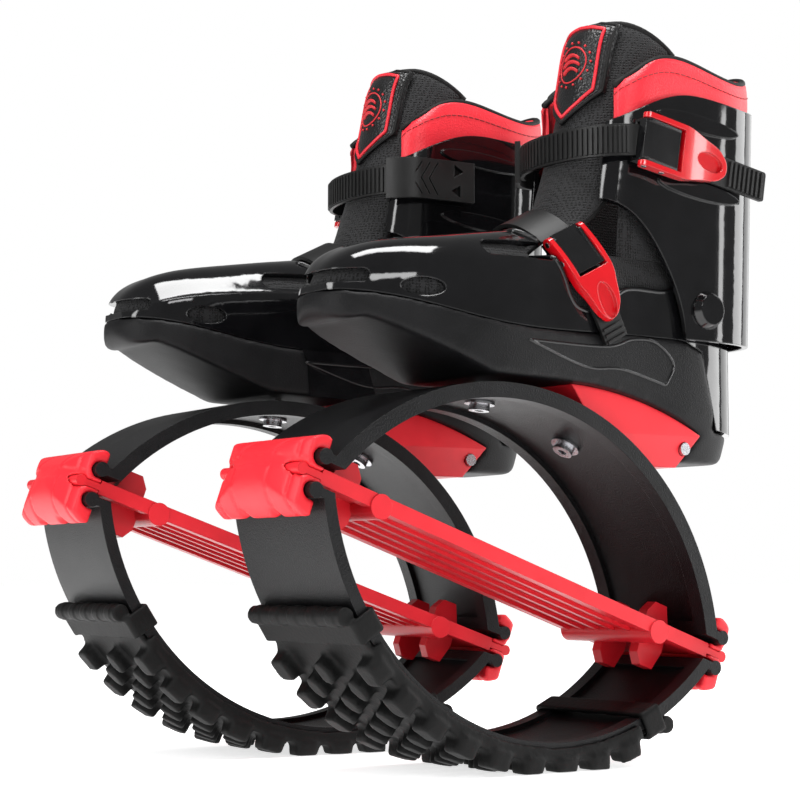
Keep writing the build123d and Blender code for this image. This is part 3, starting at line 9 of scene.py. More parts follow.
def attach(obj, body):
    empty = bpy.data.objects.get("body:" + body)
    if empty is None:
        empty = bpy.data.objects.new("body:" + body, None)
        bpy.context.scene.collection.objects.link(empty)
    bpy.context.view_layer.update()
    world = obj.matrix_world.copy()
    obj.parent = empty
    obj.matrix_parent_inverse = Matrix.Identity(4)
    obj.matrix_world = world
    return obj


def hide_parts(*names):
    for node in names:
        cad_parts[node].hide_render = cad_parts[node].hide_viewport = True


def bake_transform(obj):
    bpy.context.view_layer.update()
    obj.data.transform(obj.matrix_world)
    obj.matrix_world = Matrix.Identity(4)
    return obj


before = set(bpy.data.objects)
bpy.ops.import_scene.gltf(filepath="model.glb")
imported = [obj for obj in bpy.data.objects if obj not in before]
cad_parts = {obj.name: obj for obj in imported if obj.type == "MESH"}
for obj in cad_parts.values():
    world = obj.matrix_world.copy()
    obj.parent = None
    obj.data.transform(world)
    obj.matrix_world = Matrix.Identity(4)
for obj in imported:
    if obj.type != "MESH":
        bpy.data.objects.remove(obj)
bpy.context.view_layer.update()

# The shoe frame of the part's source, in mm: X to the toe, Y to the left shoe's outer side, Z up.
# Everything is worked out once for the left shoe and set down twice, the right shoe mirrored.
SIDES = ("left", "right")
MM = 1000                       # millimetres in a metre
TOE_OUT = math.radians(2.1)
SOLE = 267.05                   # height of the sole's top: the boot's heights start there
# Where each shoe's frame stands in the row frame, in mm, its hand and how far it is turned
SPOTS = {"left": (-2.4623, 92.15, 1, TOE_OUT), "right": (40.1377, -92.15, -1, -TOE_OUT)}
FAR = 300                       # a start for rays that is clear of the shoe


def turned(side, v):
    """A direction of the shoe frame in the row frame."""
    hand, yaw = SPOTS[side][2:]
    x, y = v[0], v[1] * hand
    c, s = math.cos(yaw), math.sin(yaw)
    return Vector((x * c - y * s, x * s + y * c, v[2]))


def placed(side, p):
    """A point of the shoe frame, in mm, in the row frame in metres."""
    spot = turned(side, p)
    return Vector((spot.x + SPOTS[side][0], spot.y + SPOTS[side][1], spot.z)) / MM


def shoe_mesh(node):
    """The left CAD node's points and faces in the shoe frame, in mm."""
    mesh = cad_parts["left_" + node].data
    p = np.array([v.co for v in mesh.vertices], float) * MM
    p[:, 0] -= SPOTS["left"][0]
    p[:, 1] -= SPOTS["left"][1]
    c, s = math.cos(TOE_OUT), math.sin(TOE_OUT)
    x = p[:, 0] * c + p[:, 1] * s
    y = p[:, 1] * c - p[:, 0] * s
    p[:, 0], p[:, 1] = x, y
    return p, [tuple(f.vertices) for f in mesh.polygons]


def tree_of(node):
    """The left CAD node for ray casts in the shoe frame."""
    points, faces = shoe_mesh(node)
    return BVHTree.FromPolygons([Vector(p) for p in points], faces)


# Materials. Lengths in them are in metres, and scales of patterns are per metre.

VARY_SCALE, VARY_DETAIL = 60.0, 4.0     # the slow pattern that colour and gloss follow
VARY_STOPS = (0.3, 0.7)
LEAST_LIFT = 0.001                      # keeps the two ends of a near black apart
LEAST_ROUGH = 0.02
COAT_ROUGH = 0.03
EDGE_SAMPLES = 3
GRAIN_DEPTH, NET_DEPTH = 0.0004, 0.0008
WHITE = (1, 1, 1, 1)


def add(tree, kind, **inputs):
    """A new shader node with its inputs set; an underscore stands for a space in a name."""
    node = tree.nodes.new("ShaderNode" + kind)
    for name, value in inputs.items():
        node.inputs[name.replace("_", " ")].default_value = value
    return node


def material(name, color, rough, vary=0.12, grain=0.0, grain_scale=900.0, cells=0.0,
             cell_scale=500.0, coat=0.0, metallic=0.0, soft_edge=0.0006, sheen=0.0,
             rough_vary=0.06, specular=0.5):
    """A plastic, rubber, leather or metal: colour and gloss vary slowly, grain and cells raise it,
    and its edges catch the light as if rounded."""
    m = bpy.data.materials.new(name)
    m.use_nodes = True
    t = m.node_tree
    t.nodes.clear()
    link = t.links.new
    out = add(t, "OutputMaterial")
    bsdf = add(t, "BsdfPrincipled", Metallic=metallic, Coat_Weight=coat, Coat_Roughness=COAT_ROUGH,
               Sheen_Weight=sheen, Specular_IOR_Level=specular)
    link(bsdf.outputs[0], out.inputs[0])
    coord = add(t, "TexCoord")
    slow = add(t, "TexNoise", Scale=VARY_SCALE, Detail=VARY_DETAIL)
    link(coord.outputs["Object"], slow.inputs["Vector"])
    ramp = add(t, "ValToRGB")
    low = [c * (1 - vary) for c in color]
    high = [min(1.0, c * (1 + vary) + LEAST_LIFT) for c in color]
    for stop, position, shade in zip(ramp.color_ramp.elements, VARY_STOPS, (low, high)):
        stop.position = position
        stop.color = (*shade, 1)
    link(slow.outputs["Fac"], ramp.inputs[0])
    link(ramp.outputs[0], bsdf.inputs["Base Color"])
    span = add(t, "MapRange", To_Min=max(LEAST_ROUGH, rough - rough_vary),
               To_Max=min(1.0, rough + rough_vary))
    link(slow.outputs["Fac"], span.inputs["Value"])
    link(span.outputs[0], bsdf.inputs["Roughness"])
    normal = None
    if soft_edge:
        edge = add(t, "Bevel", Radius=soft_edge)
        edge.samples = EDGE_SAMPLES
        normal = edge.outputs[0]
    for strength, kind, scale, height in ((cells, "TexVoronoi", cell_scale, "Distance"),
                                          (grain, "TexNoise", grain_scale, "Fac")):
        if strength:
            pattern = add(t, kind, Scale=scale)
            link(coord.outputs["Object"], pattern.inputs["Vector"])
            bump = add(t, "Bump", Strength=strength, Distance=GRAIN_DEPTH)
            link(pattern.outputs[height], bump.inputs["Height"])
            if normal:
                link(normal, bump.inputs["Normal"])
            normal = bump.outputs[0]
    if normal:
        link(normal, bsdf.inputs["Normal"])
        if coat:
            link(normal, bsdf.inputs["Coat Normal"])
    return m


def net(name, thread, hole, scale, sheen):
    """Air mesh: raised threads with dark holes between them."""
    m = material(name, thread, 0.7, vary=0.15, soft_edge=0, sheen=sheen, specular=0.3)
    t = m.node_tree
    link = t.links.new
    bsdf, coord, ramp = (next(n for n in t.nodes if n.type == kind)
                         for kind in ("BSDF_PRINCIPLED", "TEX_COORD", "VALTORGB"))
    cell = add(t, "TexVoronoi", Scale=scale, Randomness=0.35)
    link(coord.outputs["Object"], cell.inputs["Vector"])
    mask = add(t, "MapRange", From_Min=0.28, From_Max=0.5)
    link(cell.outputs["Distance"], mask.inputs["Value"])
    mix = add(t, "Mix")
    mix.data_type = "RGBA"
    mix.inputs["A"].default_value = (*hole, 1)
    link(mask.outputs[0], mix.inputs["Factor"])
    link(ramp.outputs[0], mix.inputs["B"])
    link(mix.outputs["Result"], bsdf.inputs["Base Color"])
    bump = add(t, "Bump", Strength=0.8, Distance=NET_DEPTH)
    link(mask.outputs[0], bump.inputs["Height"])
    link(bump.outputs[0], bsdf.inputs["Normal"])
    return m


M = {
    "bow": material("bow_plastic", (0.0045, 0.0045, 0.005), 0.36, vary=0.2, grain=0.8,
                    grain_scale=1100, specular=0.22),
    "red": material("red_plastic", (0.78, 0.014, 0.026), 0.40, vary=0.05, grain=0.12,
                    grain_scale=1100, specular=0.4, soft_edge=0.0016),
    "band": material("band_plastic", (0.66, 0.012, 0.022), 0.34, vary=0.06, grain=0.1,
                     specular=0.4),
    "rubber": material("tread_rubber", (0.004, 0.004, 0.004), 0.55, vary=0.3, grain=0.6,
                       grain_scale=420, specular=0.16, soft_edge=0.0012),
    "sole": material("sole_plastic", (0.004, 0.004, 0.0045), 0.48, vary=0.2, grain=0.4,
                     cells=0.3, cell_scale=1100, specular=0.18, soft_edge=0.0015),
    "gloss": material("gloss_shell", (0.003, 0.003, 0.0035), 0.06, vary=0.2, rough_vary=0.012,
                      grain=0.03, grain_scale=60, coat=0.35, specular=0.4, soft_edge=0.0012),
    "strap": material("strap_plastic", (0.005, 0.005, 0.005), 0.42, vary=0.2, grain=0.15,
                      grain_scale=1400, specular=0.35, soft_edge=0.0005),
    "buckle": material("buckle_plastic", (0.004, 0.004, 0.0045), 0.16, vary=0.2, grain=0.05,
                       grain_scale=200, coat=0.3),
    "lever": material("red_gloss", (0.56, 0.003, 0.008), 0.13, vary=0.05, rough_vary=0.02,
                      coat=0.7, soft_edge=0.0009),
    "steel": material("steel", (0.50, 0.50, 0.52), 0.26, metallic=1.0, grain=0.12,
                      grain_scale=2500, soft_edge=0.0003),
    "collar": material("red_leather", (0.82, 0.020, 0.036), 0.38, vary=0.06, grain=0.2,
                       grain_scale=1500, cells=0.45, cell_scale=900, specular=0.45, soft_edge=0),
    "leather": material("black_leather", (0.006, 0.006, 0.0065), 0.32, vary=0.25, cells=0.8,
                        cell_scale=560, soft_edge=0),
    "binding": material("binding", (0.005, 0.005, 0.005), 0.6, vary=0.3, grain=0.8,
                        grain_scale=1200, specular=0.25, soft_edge=0),
    "thread": material("red_thread", (0.55, 0.012, 0.02), 0.55, grain=0.5, grain_scale=3000,
                       soft_edge=0),
    "piping": material("red_piping", (0.70, 0.015, 0.03), 0.38, grain=0.2, grain_scale=1500,
                       soft_edge=0),
    "dark_thread": material("dark_thread", (0.30, 0.010, 0.015), 0.6, grain=0.5,
                            grain_scale=3000, soft_edge=0),
    "dark_stitch": material("dark_stitch", (0.03, 0.03, 0.03), 0.5, grain=0.5,
                            grain_scale=3000, soft_edge=0),
    "mesh": net("air_mesh", (0.013, 0.013, 0.014), (0.0008, 0.0008, 0.0008), 560, sheen=0.06),
    "fleece": material("fleece", (0.006, 0.006, 0.0065), 0.95, vary=0.3, grain=1.0,
                       grain_scale=1600, sheen=0.15, specular=0.1, soft_edge=0),
}

NODE_MATERIALS = {
    "bow": ("upper_shell", "lower_shell"),
    "red": ("front_cap", "rear_cap", "heel_wedge"),
    "band": ("tension_band",),
    "rubber": ("tread", "tread_clamps"),
    "sole": ("sole",),
    "steel": ("wedge_bolts", "shell_bolts", "upper_buckle_pins", "instep_buckle_pins"),
    "gloss": ("boot_shell", "cuff", "cuff_pivots"),
    "fleece": ("insole",),
    "strap": ("upper_strap", "strap_anchor", "instep_strap", "instep_ladder"),
    "buckle": ("upper_buckle_base", "instep_buckle_base"),
    "lever": ("upper_buckle_lever", "instep_buckle_lever"),
    "leather": ("tongue_patch",),
    "mesh": ("liner", "tongue"),
    "collar": ("collar",),
}
for key, nodes in NODE_MATERIALS.items():
    for node in nodes:
        for side in SIDES:
            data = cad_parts[f"{side}_{node}"].data
            data.materials.clear()
            data.materials.append(M[key])

# Moulded pieces have soft edges: their skins are rounded where they are shown. Each has its grid,
# in metres, and its rounds of smoothing.
ROUNDED = {"tread": (0.0014, 7), "front_cap": (0.0010, 10), "rear_cap": (0.0010, 10),
           "tread_clamps": (0.0009, 3), "sole": (0.0016, 26)}
for node, (grid, rounds) in ROUNDED.items():
    for side in SIDES:
        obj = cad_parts[f"{side}_{node}"]
        skin = obj.modifiers.new("skin", "REMESH")
        skin.mode = "VOXEL"
        skin.voxel_size = grid
        skin.use_smooth_shade = True
        soft = obj.modifiers.new("soft", "SMOOTH")
        soft.factor = 0.5
        soft.iterations = rounds


# Making pieces: points in the shoe frame, in mm

def piece(name, side, points, faces, key, body=None):
    """A mesh piece that rides on one of the side's bodies, or on none.
    Its faces are turned over on the mirrored side, so that they look outward on both."""
    mesh = bpy.data.meshes.new(f"{side}_{name}")
    spots = [placed(side, p) for p in points]
    if side == "right":
        faces = [tuple(reversed(f)) for f in faces]
    mesh.from_pydata(spots, [], faces)
    mesh.validate()
    mesh.update()
    mesh.polygons.foreach_set("use_smooth", [True] * len(mesh.polygons))
    mesh.materials.append(M[key])
    obj = bpy.data.objects.new(f"{side}_{name}", mesh)
    bpy.context.scene.collection.objects.link(obj)
    if body:
        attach(obj, f"{side}_{body}")
    return obj


def strip_faces(rows, columns, close_rows=False, close_columns=False):
    """Quads between rows of points; rows and columns may each join their last to their first."""
    faces = []
    for r in range(rows if close_rows else rows - 1):
        for c in range(columns if close_columns else columns - 1):
            row, after = r * columns, ((r + 1) % rows) * columns
            beside = (c + 1) % columns
            faces.append((row + c, row + beside, after + beside, after + c))
    return faces


TIP_SHARE = 0.6     # how far an open tube's tip stands out, as a share of its radius


def tube_parts(path, radius, closed=False, sides=8, flat=1.0):
    """Points and faces of a tube along a path, with pointed ends when it is open."""
    path = [Vector(p) for p in path]
    count = len(path)
    points, up = [], None
    for i, p in enumerate(path):
        before = path[i - 1] if (i or closed) else p
        after = path[(i + 1) % count] if (i < count - 1 or closed) else p
        way = (after - before).normalized()
        up = (up - way * up.dot(way) if up is not None else way.orthogonal()).normalized()
        across = way.cross(up)
        for k in range(sides):
            a = 2 * math.pi * k / sides
            points.append(p + (up * math.cos(a) + across * math.sin(a) * flat) * radius)
    faces = strip_faces(count, sides, close_rows=closed, close_columns=True)
    if not closed:
        for end, inner in ((0, 1), (count - 1, count - 2)):
            ring = [end * sides + k for k in range(sides)]
            tip = len(points)
            way = (path[end] - path[inner]).normalized()
            points.append(path[end] + way * radius * TIP_SHARE)
            for a, b in zip(ring, ring[1:] + ring[:1]):
                faces.append((a, b, tip) if end else (b, a, tip))
    return points, faces


def joined(parts):
    """One list of points and faces from several."""
    points, faces = [], []
    for p, f in parts:
        shift = len(points)
        points += list(p)
        faces += [tuple(i + shift for i in face) for face in f]
    return points, faces


def along(path, step):
    """The path again with points a set distance apart."""
    p = np.array([tuple(q) for q in path], float)
    run = np.concatenate([[0], np.cumsum(np.linalg.norm(np.diff(p, axis=0), axis=1))])
    spots = np.linspace(0, run[-1], max(2, int(run[-1] / step) + 1))
    return [Vector([np.interp(s, run, p[:, k]) for k in range(3)]) for s in spots]


STITCH_POINTS = 4   # points a stitch: its thread runs over them and its gap is part of the last


def stitch_parts(path, length=3.2, gap=1.5, radius=0.42):
    """Rows of short threads along a path."""
    spots = along(path, (length + gap) / STITCH_POINTS)
    starts = range(0, len(spots) - STITCH_POINTS + 1, STITCH_POINTS)
    return joined([tube_parts(spots[i:i + STITCH_POINTS], radius, sides=5) for i in starts])


def smooth_path(knots, count):
    """Catmull-Rom curve through the knots."""
    k = np.array(knots, float)
    k = np.vstack([2 * k[0] - k[1], k, 2 * k[-1] - k[-2]])
    out = []
    spans = len(k) - 3
    for s in np.linspace(0, spans, count):
        i = min(int(s), spans - 1)
        t = s - i
        a, b, c, d = k[i:i + 4]
        out.append(0.5 * (2 * b + (c - a) * t + (2 * a - 5 * b + 4 * c - d) * t**2
                          + (3 * b - a - 3 * c + d) * t**3))
    return out


def side_hit(tree, x, z, hand):
    """Where a line from the side at that place first meets the surface."""
    spot = tree.ray_cast(Vector((x, hand * FAR, z)), Vector((0, -hand, 0)))[0]
    return spot.y if spot is not None else None


# Copies that stand for CAD pieces

def bending_copy(side, node, name):
    """A copy of a CAD node's shape that stands for it; the CAD node is hidden."""
    skin = bpy.data.objects.new(f"{side}_{name}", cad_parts[f"{side}_{node}"].data.copy())
    bpy.context.scene.collection.objects.link(skin)
    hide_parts(f"{side}_{node}")
    return skin


def over_cuff_joint(obj, side, low, high):
    """Bakes the piece's placement into its mesh. The two heights over the sole are not used."""
    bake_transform(obj)


# The upper leaf shell's crown is bolted to the boot and its ends stay in the caps, so it bends
# over the bow's middle as the boot sinks; here a copy stands for it, its placement baked in,
# unbent.
for side in SIDES:
    leaf = bending_copy(side, "upper_shell", "upper_leaf")
    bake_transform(leaf)

LINER_BEND = (45, 120)
for side in SIDES:
    liner = bending_copy(side, "liner", "liner_fabric")
    over_cuff_joint(liner, side, *LINER_BEND)

# Glossy wave panel: a thin sheet just off the floor of the sole's recess. A face is floor where
# it lies inside the recess's bounds and deeper than the sole's side beside it.
WAVE_X, WAVE_Z = (-112, 4), (-29, -3)
WAVE_DEPTH = 1.6        # least depth under the sole's side
WAVE_LIFT = 0.25
KEEL = 20               # the sole's sides lie further out than this
STATION_NEAR = 6
points, faces = shoe_mesh("sole")
stations = np.arange(-200, 130, 3.0)
side_at = np.array([np.abs(points[np.abs(points[:, 0] - x) < STATION_NEAR, 1]).max(initial=0)
                    for x in stations])
floor_faces = []
for face in faces:
    corners = points[list(face)]
    x, y, z = corners.mean(0)
    inside = WAVE_X[0] < x < WAVE_X[1] and SOLE + WAVE_Z[0] < z < SOLE + WAVE_Z[1]
    sides_there = np.interp(corners[:, 0], stations, side_at)
    if inside and abs(y) > KEEL and np.all(np.abs(corners[:, 1]) < sides_there - WAVE_DEPTH):
        floor_faces.append(face)
used = sorted({i for f in floor_faces for i in f})
index = {v: i for i, v in enumerate(used)}
panel = [points[i] + np.array((0, WAVE_LIFT * np.sign(points[i][1]), 0)) for i in used]
panel_faces = [tuple(index[i] for i in f) for f in floor_faces]
for side in SIDES:
    piece("sole_wave_panel", side, panel, panel_faces, "buckle", "boot")

# Moulded lip round the recess, on its outline in x and height over the sole
LIP_RADIUS, LIP_SINK, LIP_STEP = 1.1, 0.4, 2.0
WAVE_LOW = ((3.5, -8.6), (-42.4, -21.8), (-74.1, -21.8), (-111.6, -29.8))
WAVE_HIGH = ((-111.6, -29.8), (-118.0, -15.6), (-103.4, -3.2), (-83.6, -2.4), (-59.9, -8.4),
             (3.5, -8.6))
outline = smooth_path(WAVE_LOW, 60) + smooth_path(WAVE_HIGH, 80)[1:-1]
sole_tree = tree_of("sole")
lips = []
for hand in (1, -1):
    line = []
    for x, z in outline:
        y = side_hit(sole_tree, x, SOLE + z, hand)
        if y is not None:
            line.append(Vector((x, y - hand * LIP_SINK, SOLE + z)))
    loop = along(line + line[:1], LIP_STEP)[:-1]
    lips.append(tube_parts(loop, LIP_RADIUS, closed=True))
for side in SIDES:
    piece("sole_wave_lip", side, *joined(lips), "gloss", "boot")

# Rolled rim along the throat of the lower shell, on the throat's line in x and height
RIM_RADIUS, RIM_STEP = 1.7, 2.5
RIM_UNDER = 1.8         # the wall is looked for this far under the throat's line
RIM_SINK, RIM_DROP = 1.0, 0.4
THROAT = ((-1.5, 61.5), (-14.0, 54.9), (-23.5, 42.5), (-28.6, 31.9), (-33.0, 21.1),
          (-40.6, 14.5), (-59.9, 14.5), (-80.0, 29.5), (-115.0, 31.0), (-134.0, 41.0))
shell = tree_of("boot_shell")
rims = []
for hand in (1, -1):
    line = []
    for x, z in smooth_path([(x, SOLE + z) for x, z in THROAT], 90):
        y = side_hit(shell, x, z - RIM_UNDER, hand)
        if y is not None:
            line.append(Vector((x, y - hand * RIM_SINK, z - RIM_DROP)))
    rims.append(line)
rim = along(rims[0][::-1] + rims[1], RIM_STEP)
for side in SIDES:
    piece("shell_rim", side, *tube_parts(rim, RIM_RADIUS, sides=10), "gloss", "boot")

# Collar: padded red leatherette on the CAD collar's walls, which are looked for from an axis in
# the ankle, and a dark binding on its edge. Heights are over the sole.
AXIS_X = -140.0
COLLAR_FOOT, COLLAR_WALL, COLLAR_LEAST = 131, 133, 136
COLLAR_SWEEP = np.linspace(20, 340, 161)    # degrees, open at the tongue
COLLAR_ROWS = np.linspace(0, 1, 13)
WALL_SKIP = 0.5         # a second ray starts this far inside the wall
CREST_UNDER = 2         # and the wall near the crest is looked for this far under it
EDGE_INSET, EDGE_RISE = 1.5, 2.2
EDGE_ANGLES = np.linspace(0.5, math.pi - 0.5, 5)
CUFF_EDGE, CUFF_FADE = 146, 12      # the pad swells above the cuff's edge
PUFF, PUFF_START, PUFF_POWER = 1.6, 0.35, 0.8
OUTER_SINK, INNER_SWELL = 0.4, 0.8
collar = tree_of("collar")


def ring_point(angle, reach, height):
    return Vector((AXIS_X + math.cos(angle) * reach, math.sin(angle) * reach, height))


def wall(angle, height):
    """Inner and outer distance of the collar's wall from the axis."""
    way = Vector((math.cos(angle), math.sin(angle), 0))
    start = Vector((AXIS_X, 0, height))
    inner = collar.ray_cast(start, way)[3]
    if inner is None:
        return None
    across = collar.ray_cast(start + way * (inner + WALL_SKIP), way)[3]
    return (inner, inner + WALL_SKIP + across) if across is not None else None


def crest(angle, reach):
    """Height of the collar's upper edge there."""
    spot = collar.ray_cast(ring_point(angle, reach, MM), Vector((0, 0, -1)))[0]
    return spot.z if spot is not None else None


ring = []
for angle in np.radians(COLLAR_SWEEP):
    base = wall(angle, SOLE + COLLAR_WALL)
    top = crest(angle, sum(base) / 2) if base else None
    if top is None or top < SOLE + COLLAR_LEAST:
        continue
    near_crest = wall(angle, top - CREST_UNDER)
    if near_crest:
        top = crest(angle, sum(near_crest) / 2) or top
    rows = []
    for share in COLLAR_ROWS:
        height = SOLE + COLLAR_FOOT + (top - EDGE_INSET - SOLE - COLLAR_FOOT) * share
        rows.append((height, *(wall(angle, height) or rows[-1][1:])))
    ring.append((angle, top, rows))

collar_points, edge_path, seam_path = [], [], []
for angle, top, rows in ring:
    low = rows[0][0]
    outer, inner = [], []
    for height, near, far in rows:
        rise = (height - low) / (top - low)
        visible = min(1.0, max(0.0, (height - SOLE - CUFF_EDGE) / CUFF_FADE))
        swell = min(1, max(0, (rise - PUFF_START) / (1 - PUFF_START)))
        puff = PUFF * visible * math.sin(math.pi * swell) ** PUFF_POWER
        outer.append(ring_point(angle, far - OUTER_SINK + puff, height))
        inner.append(ring_point(angle, near - INNER_SWELL * math.sin(math.pi * rise), height))
    near, far = rows[-1][1:]
    centre = (near + far) / 2
    cap = [ring_point(angle, centre + (far - near) / 2 * math.cos(a),
                      top - EDGE_INSET + EDGE_RISE * math.sin(a)) for a in EDGE_ANGLES]
    collar_points += outer + cap + inner[::-1]
    edge_path.append(ring_point(angle, centre + 1.2, top + 0.4))
    seam_path.append(ring_point(angle, rows[-3][2] + 1.0, rows[-3][0]))
width = 2 * len(COLLAR_ROWS) + len(EDGE_ANGLES)
collar_faces = strip_faces(len(ring), width, close_columns=True)
collar_faces += [tuple(range(width)),
                 tuple(reversed(range(len(collar_points) - width, len(collar_points))))]

for side in SIDES:
    pad = piece("collar_pad", side, collar_points, collar_faces, "collar", "cuff_body")
    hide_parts(f"{side}_collar")
    piece("collar_binding", side, *tube_parts(edge_path, 2.3, sides=10), "binding", "cuff_body")
    piece("collar_stitching", side, *stitch_parts(seam_path), "dark_thread", "cuff_body")

# Tongue: a padded plate on the CAD tongue's crescent sections. Each section has its shares of the
# tongue's rise, lean, half width and depth.
TONGUE_SHARES = ((-0.15, -0.24, 0.66, 0.24), (0.00, 0.10, 0.75, 0.30), (0.10, 0.42, 0.85, 0.55),
                 (0.30, 0.58, 0.95, 0.95), (0.52, 0.71, 1.00, 1.10), (0.78, 0.84, 1.00, 1.22),
                 (1.00, 1.00, 1.00, 1.40))
TONGUE_LOW, TONGUE_HIGH = 58, 208       # heights over the sole
TONGUE_FRONT, TONGUE_BACK = 12.0, 86.0  # of the foot and of the top, behind the frame's middle
TONGUE_HALF = 34.0
BROW_TRIM, BROW_X, BROW_REACH = 24.0, -98.0, 42.0   # the top's corners fall away to the back
BROW_LOW, BROW_POWER = 0.6, 1.5
TONGUE_CORE = 3.25      # half the CAD tongue's thickness
TONGUE_BACK_SWELL = 3.0
PATCH_START, PATCH_FADE, PATCH_SEAT = 0.42, 0.1, 1.1    # it is thinner under the patch
TONGUE_EDGE = 0.12      # share of the half width over which its sides round off
TONGUE_END_ROWS = 3
TONGUE_BEND = (40, 105)


def tongue_point(row, around, outset):
    """Point on the crescent: around runs from -1 to 1, outset from the outer face."""
    rise, lean, wide, wrap = row
    front = -TONGUE_FRONT - (TONGUE_BACK - TONGUE_FRONT) * lean + outset
    across, deep = TONGUE_HALF * wide + outset, TONGUE_HALF * wrap + outset
    a = around * math.pi / 2
    x = front - deep + deep * math.cos(a)
    z = SOLE + TONGUE_LOW + (TONGUE_HIGH - TONGUE_LOW) * rise
    fall = BROW_TRIM * min(1.0, max(0.0, (BROW_X - x) / BROW_REACH)) ** BROW_POWER
    fall *= max(0.0, (rise - BROW_LOW) / (1 - BROW_LOW))
    return Vector((x, across * math.sin(a), z - fall))


tongue_rows = smooth_path(TONGUE_SHARES, 61)
arounds = np.linspace(-1, 1, 33)
tongue_points = []
for i, row in enumerate(tongue_rows):
    end = min(1.0, (len(tongue_rows) - 1 - i) / TONGUE_END_ROWS, i / TONGUE_END_ROWS)
    outer, inner = [], []
    for around in arounds:
        edge = min(1.0, (1 - abs(around)) / TONGUE_EDGE)
        full = math.sqrt(max(0.0, 1 - (1 - min(edge, end)) ** 2))
        seat = PATCH_SEAT * min(1.0, max(0.0, (row[0] - PATCH_START) / PATCH_FADE))
        outer.append(tongue_point(row, around, -TONGUE_CORE + (TONGUE_CORE - seat) * full))
        inner.append(tongue_point(row, around, -TONGUE_CORE - TONGUE_BACK_SWELL * full))
    tongue_points += outer + inner[::-1]
strip = strip_faces(len(tongue_rows), 2 * len(arounds), close_columns=True)
tongue_faces = [tuple(reversed(f)) for f in strip]
tongue_edge = ([tongue_point(row, -1, -TONGUE_CORE) for row in tongue_rows]
               + [tongue_point(tongue_rows[-1], around, -TONGUE_CORE) for around in arounds[1:-1]]
               + [tongue_point(row, 1, -TONGUE_CORE) for row in reversed(tongue_rows)])

for side in SIDES:
    pad = piece("tongue_pad", side, tongue_points, tongue_faces, "mesh")
    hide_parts(f"{side}_tongue")
    over_cuff_joint(pad, side, *TONGUE_BEND)
    binding = piece("tongue_binding", side, *tube_parts(tongue_edge, 2.0), "binding")
    over_cuff_joint(binding, side, *TONGUE_BEND)

# Shield patch: piping and thread round it, and inside a plain ring with arcs and studs
PATCH_LOW, PATCH_HIGH = SOLE + 140, SOLE + 206
MOTIF_Z = PATCH_LOW + 41
SHIELD_CROWN, SHIELD_STEP = 3.6, 1.2
RING_RADIUS, RING_POINTS, RING_THREAD = 12.0, 48, 0.55
ARCS = ((-5.5, 58 / 9.0), (-1.0, 66 / 9.0), (3.5, 58 / 9.0))    # height and half width of each
ARC_CROWN, ARC_THREAD, ARC_FLAT = 3.0, 1.35, 0.6
STUD_RING, STUD_STEP, STUD_RADIUS = 15.0, 24, 0.8
patch = tree_of("tongue_patch")


def on_patch(y, z, outset):
    """Point just off the patch's outer face at that place across and that height."""
    spot, normal = patch.ray_cast(Vector((FAR, y, z)), Vector((-1, 0, 0)))[:2]
    return spot + normal * outset if spot is not None else None


def all_on_patch(places, outset):
    """The places again on the patch's face, without those beside it."""
    return [p for p in (on_patch(y, z, outset) for y, z in places) if p is not None]


def shield(half, low, high, shoulder, outset):
    """Closed outline of a shield on the patch's face."""
    right = [(half * 0.55, low + shoulder * 0.5), (half, low + shoulder), (half, (low + high) / 2),
             (half, high)]
    crown = [(y, high + SHIELD_CROWN * (1 - (y / half) ** 2))
             for y in (half * 0.6, 0, -half * 0.6)]
    flat = [(0, low)] + right + crown + [(-y, z) for y, z in reversed(right)]
    dense = along([Vector((y, z, 0)) for y, z in flat + flat[:1]], SHIELD_STEP)[:-1]
    return all_on_patch([(p.x, p.y) for p in dense], outset)


def round_motif(radius, turns):
    """Places on a circle round the motif's middle."""
    return [(radius * math.cos(a), MOTIF_Z + radius * math.sin(a)) for a in np.radians(turns)]


piping = shield(18.6, PATCH_LOW + 5.0, PATCH_HIGH - 3.2, 16.6, 0.5)
edge_cord = shield(23.4, PATCH_LOW + 1.2, PATCH_HIGH - 0.4, 18.9, 0.0)
sewn = shield(21.2, PATCH_LOW + 3.0, PATCH_HIGH - 1.6, 17.8, 0.25)
circle = all_on_patch(round_motif(RING_RADIUS, np.linspace(0, 360, RING_POINTS)), 0.2)[:-1]
motif = [tube_parts(circle, RING_THREAD, closed=True, sides=6)]
for lift, half in ARCS:
    arc = [(y, MOTIF_Z + lift + ARC_CROWN * (1 - (y / half) ** 2))
           for y in np.linspace(-half, half, 13)]
    motif.append(tube_parts(all_on_patch(arc, 0.3), ARC_THREAD, flat=ARC_FLAT))
for place in round_motif(STUD_RING, range(0, 360, STUD_STEP)):
    motif.append(tube_parts([on_patch(*place, 0.1), on_patch(*place, 0.9)], STUD_RADIUS))
for side in SIDES:
    piece("patch_piping", side, *tube_parts(piping, 1.15, closed=True), "piping", "cuff_body")
    piece("patch_edge", side, *tube_parts(edge_cord, 1.1, closed=True), "binding", "cuff_body")
    piece("patch_stitching", side, *stitch_parts(sewn + sewn[:1], 2.2, 1.3, 0.36),
          "dark_stitch", "cuff_body")
    piece("patch_motif", side, *joined(motif), "thread", "cuff_body")

# Stage: camera as in the photograph, pale floor, soft boxes. Lengths are in metres.
CAMERA_PLACE, CAMERA_WAY = (0.73254, 1.12995, 0.1148), (-0.5424, -0.8356, 0.0869)
camera = bpy.data.objects.new("camera", bpy.data.cameras.new("camera"))
bpy.context.scene.collection.objects.link(camera)
camera.location = CAMERA_PLACE
camera.rotation_euler = Vector(CAMERA_WAY).to_track_quat("-Z", "Y").to_euler()
camera.data.lens = 92.42
camera.data.sensor_width = 36.0
camera.data.clip_start = 0.01
bpy.context.scene.camera = camera

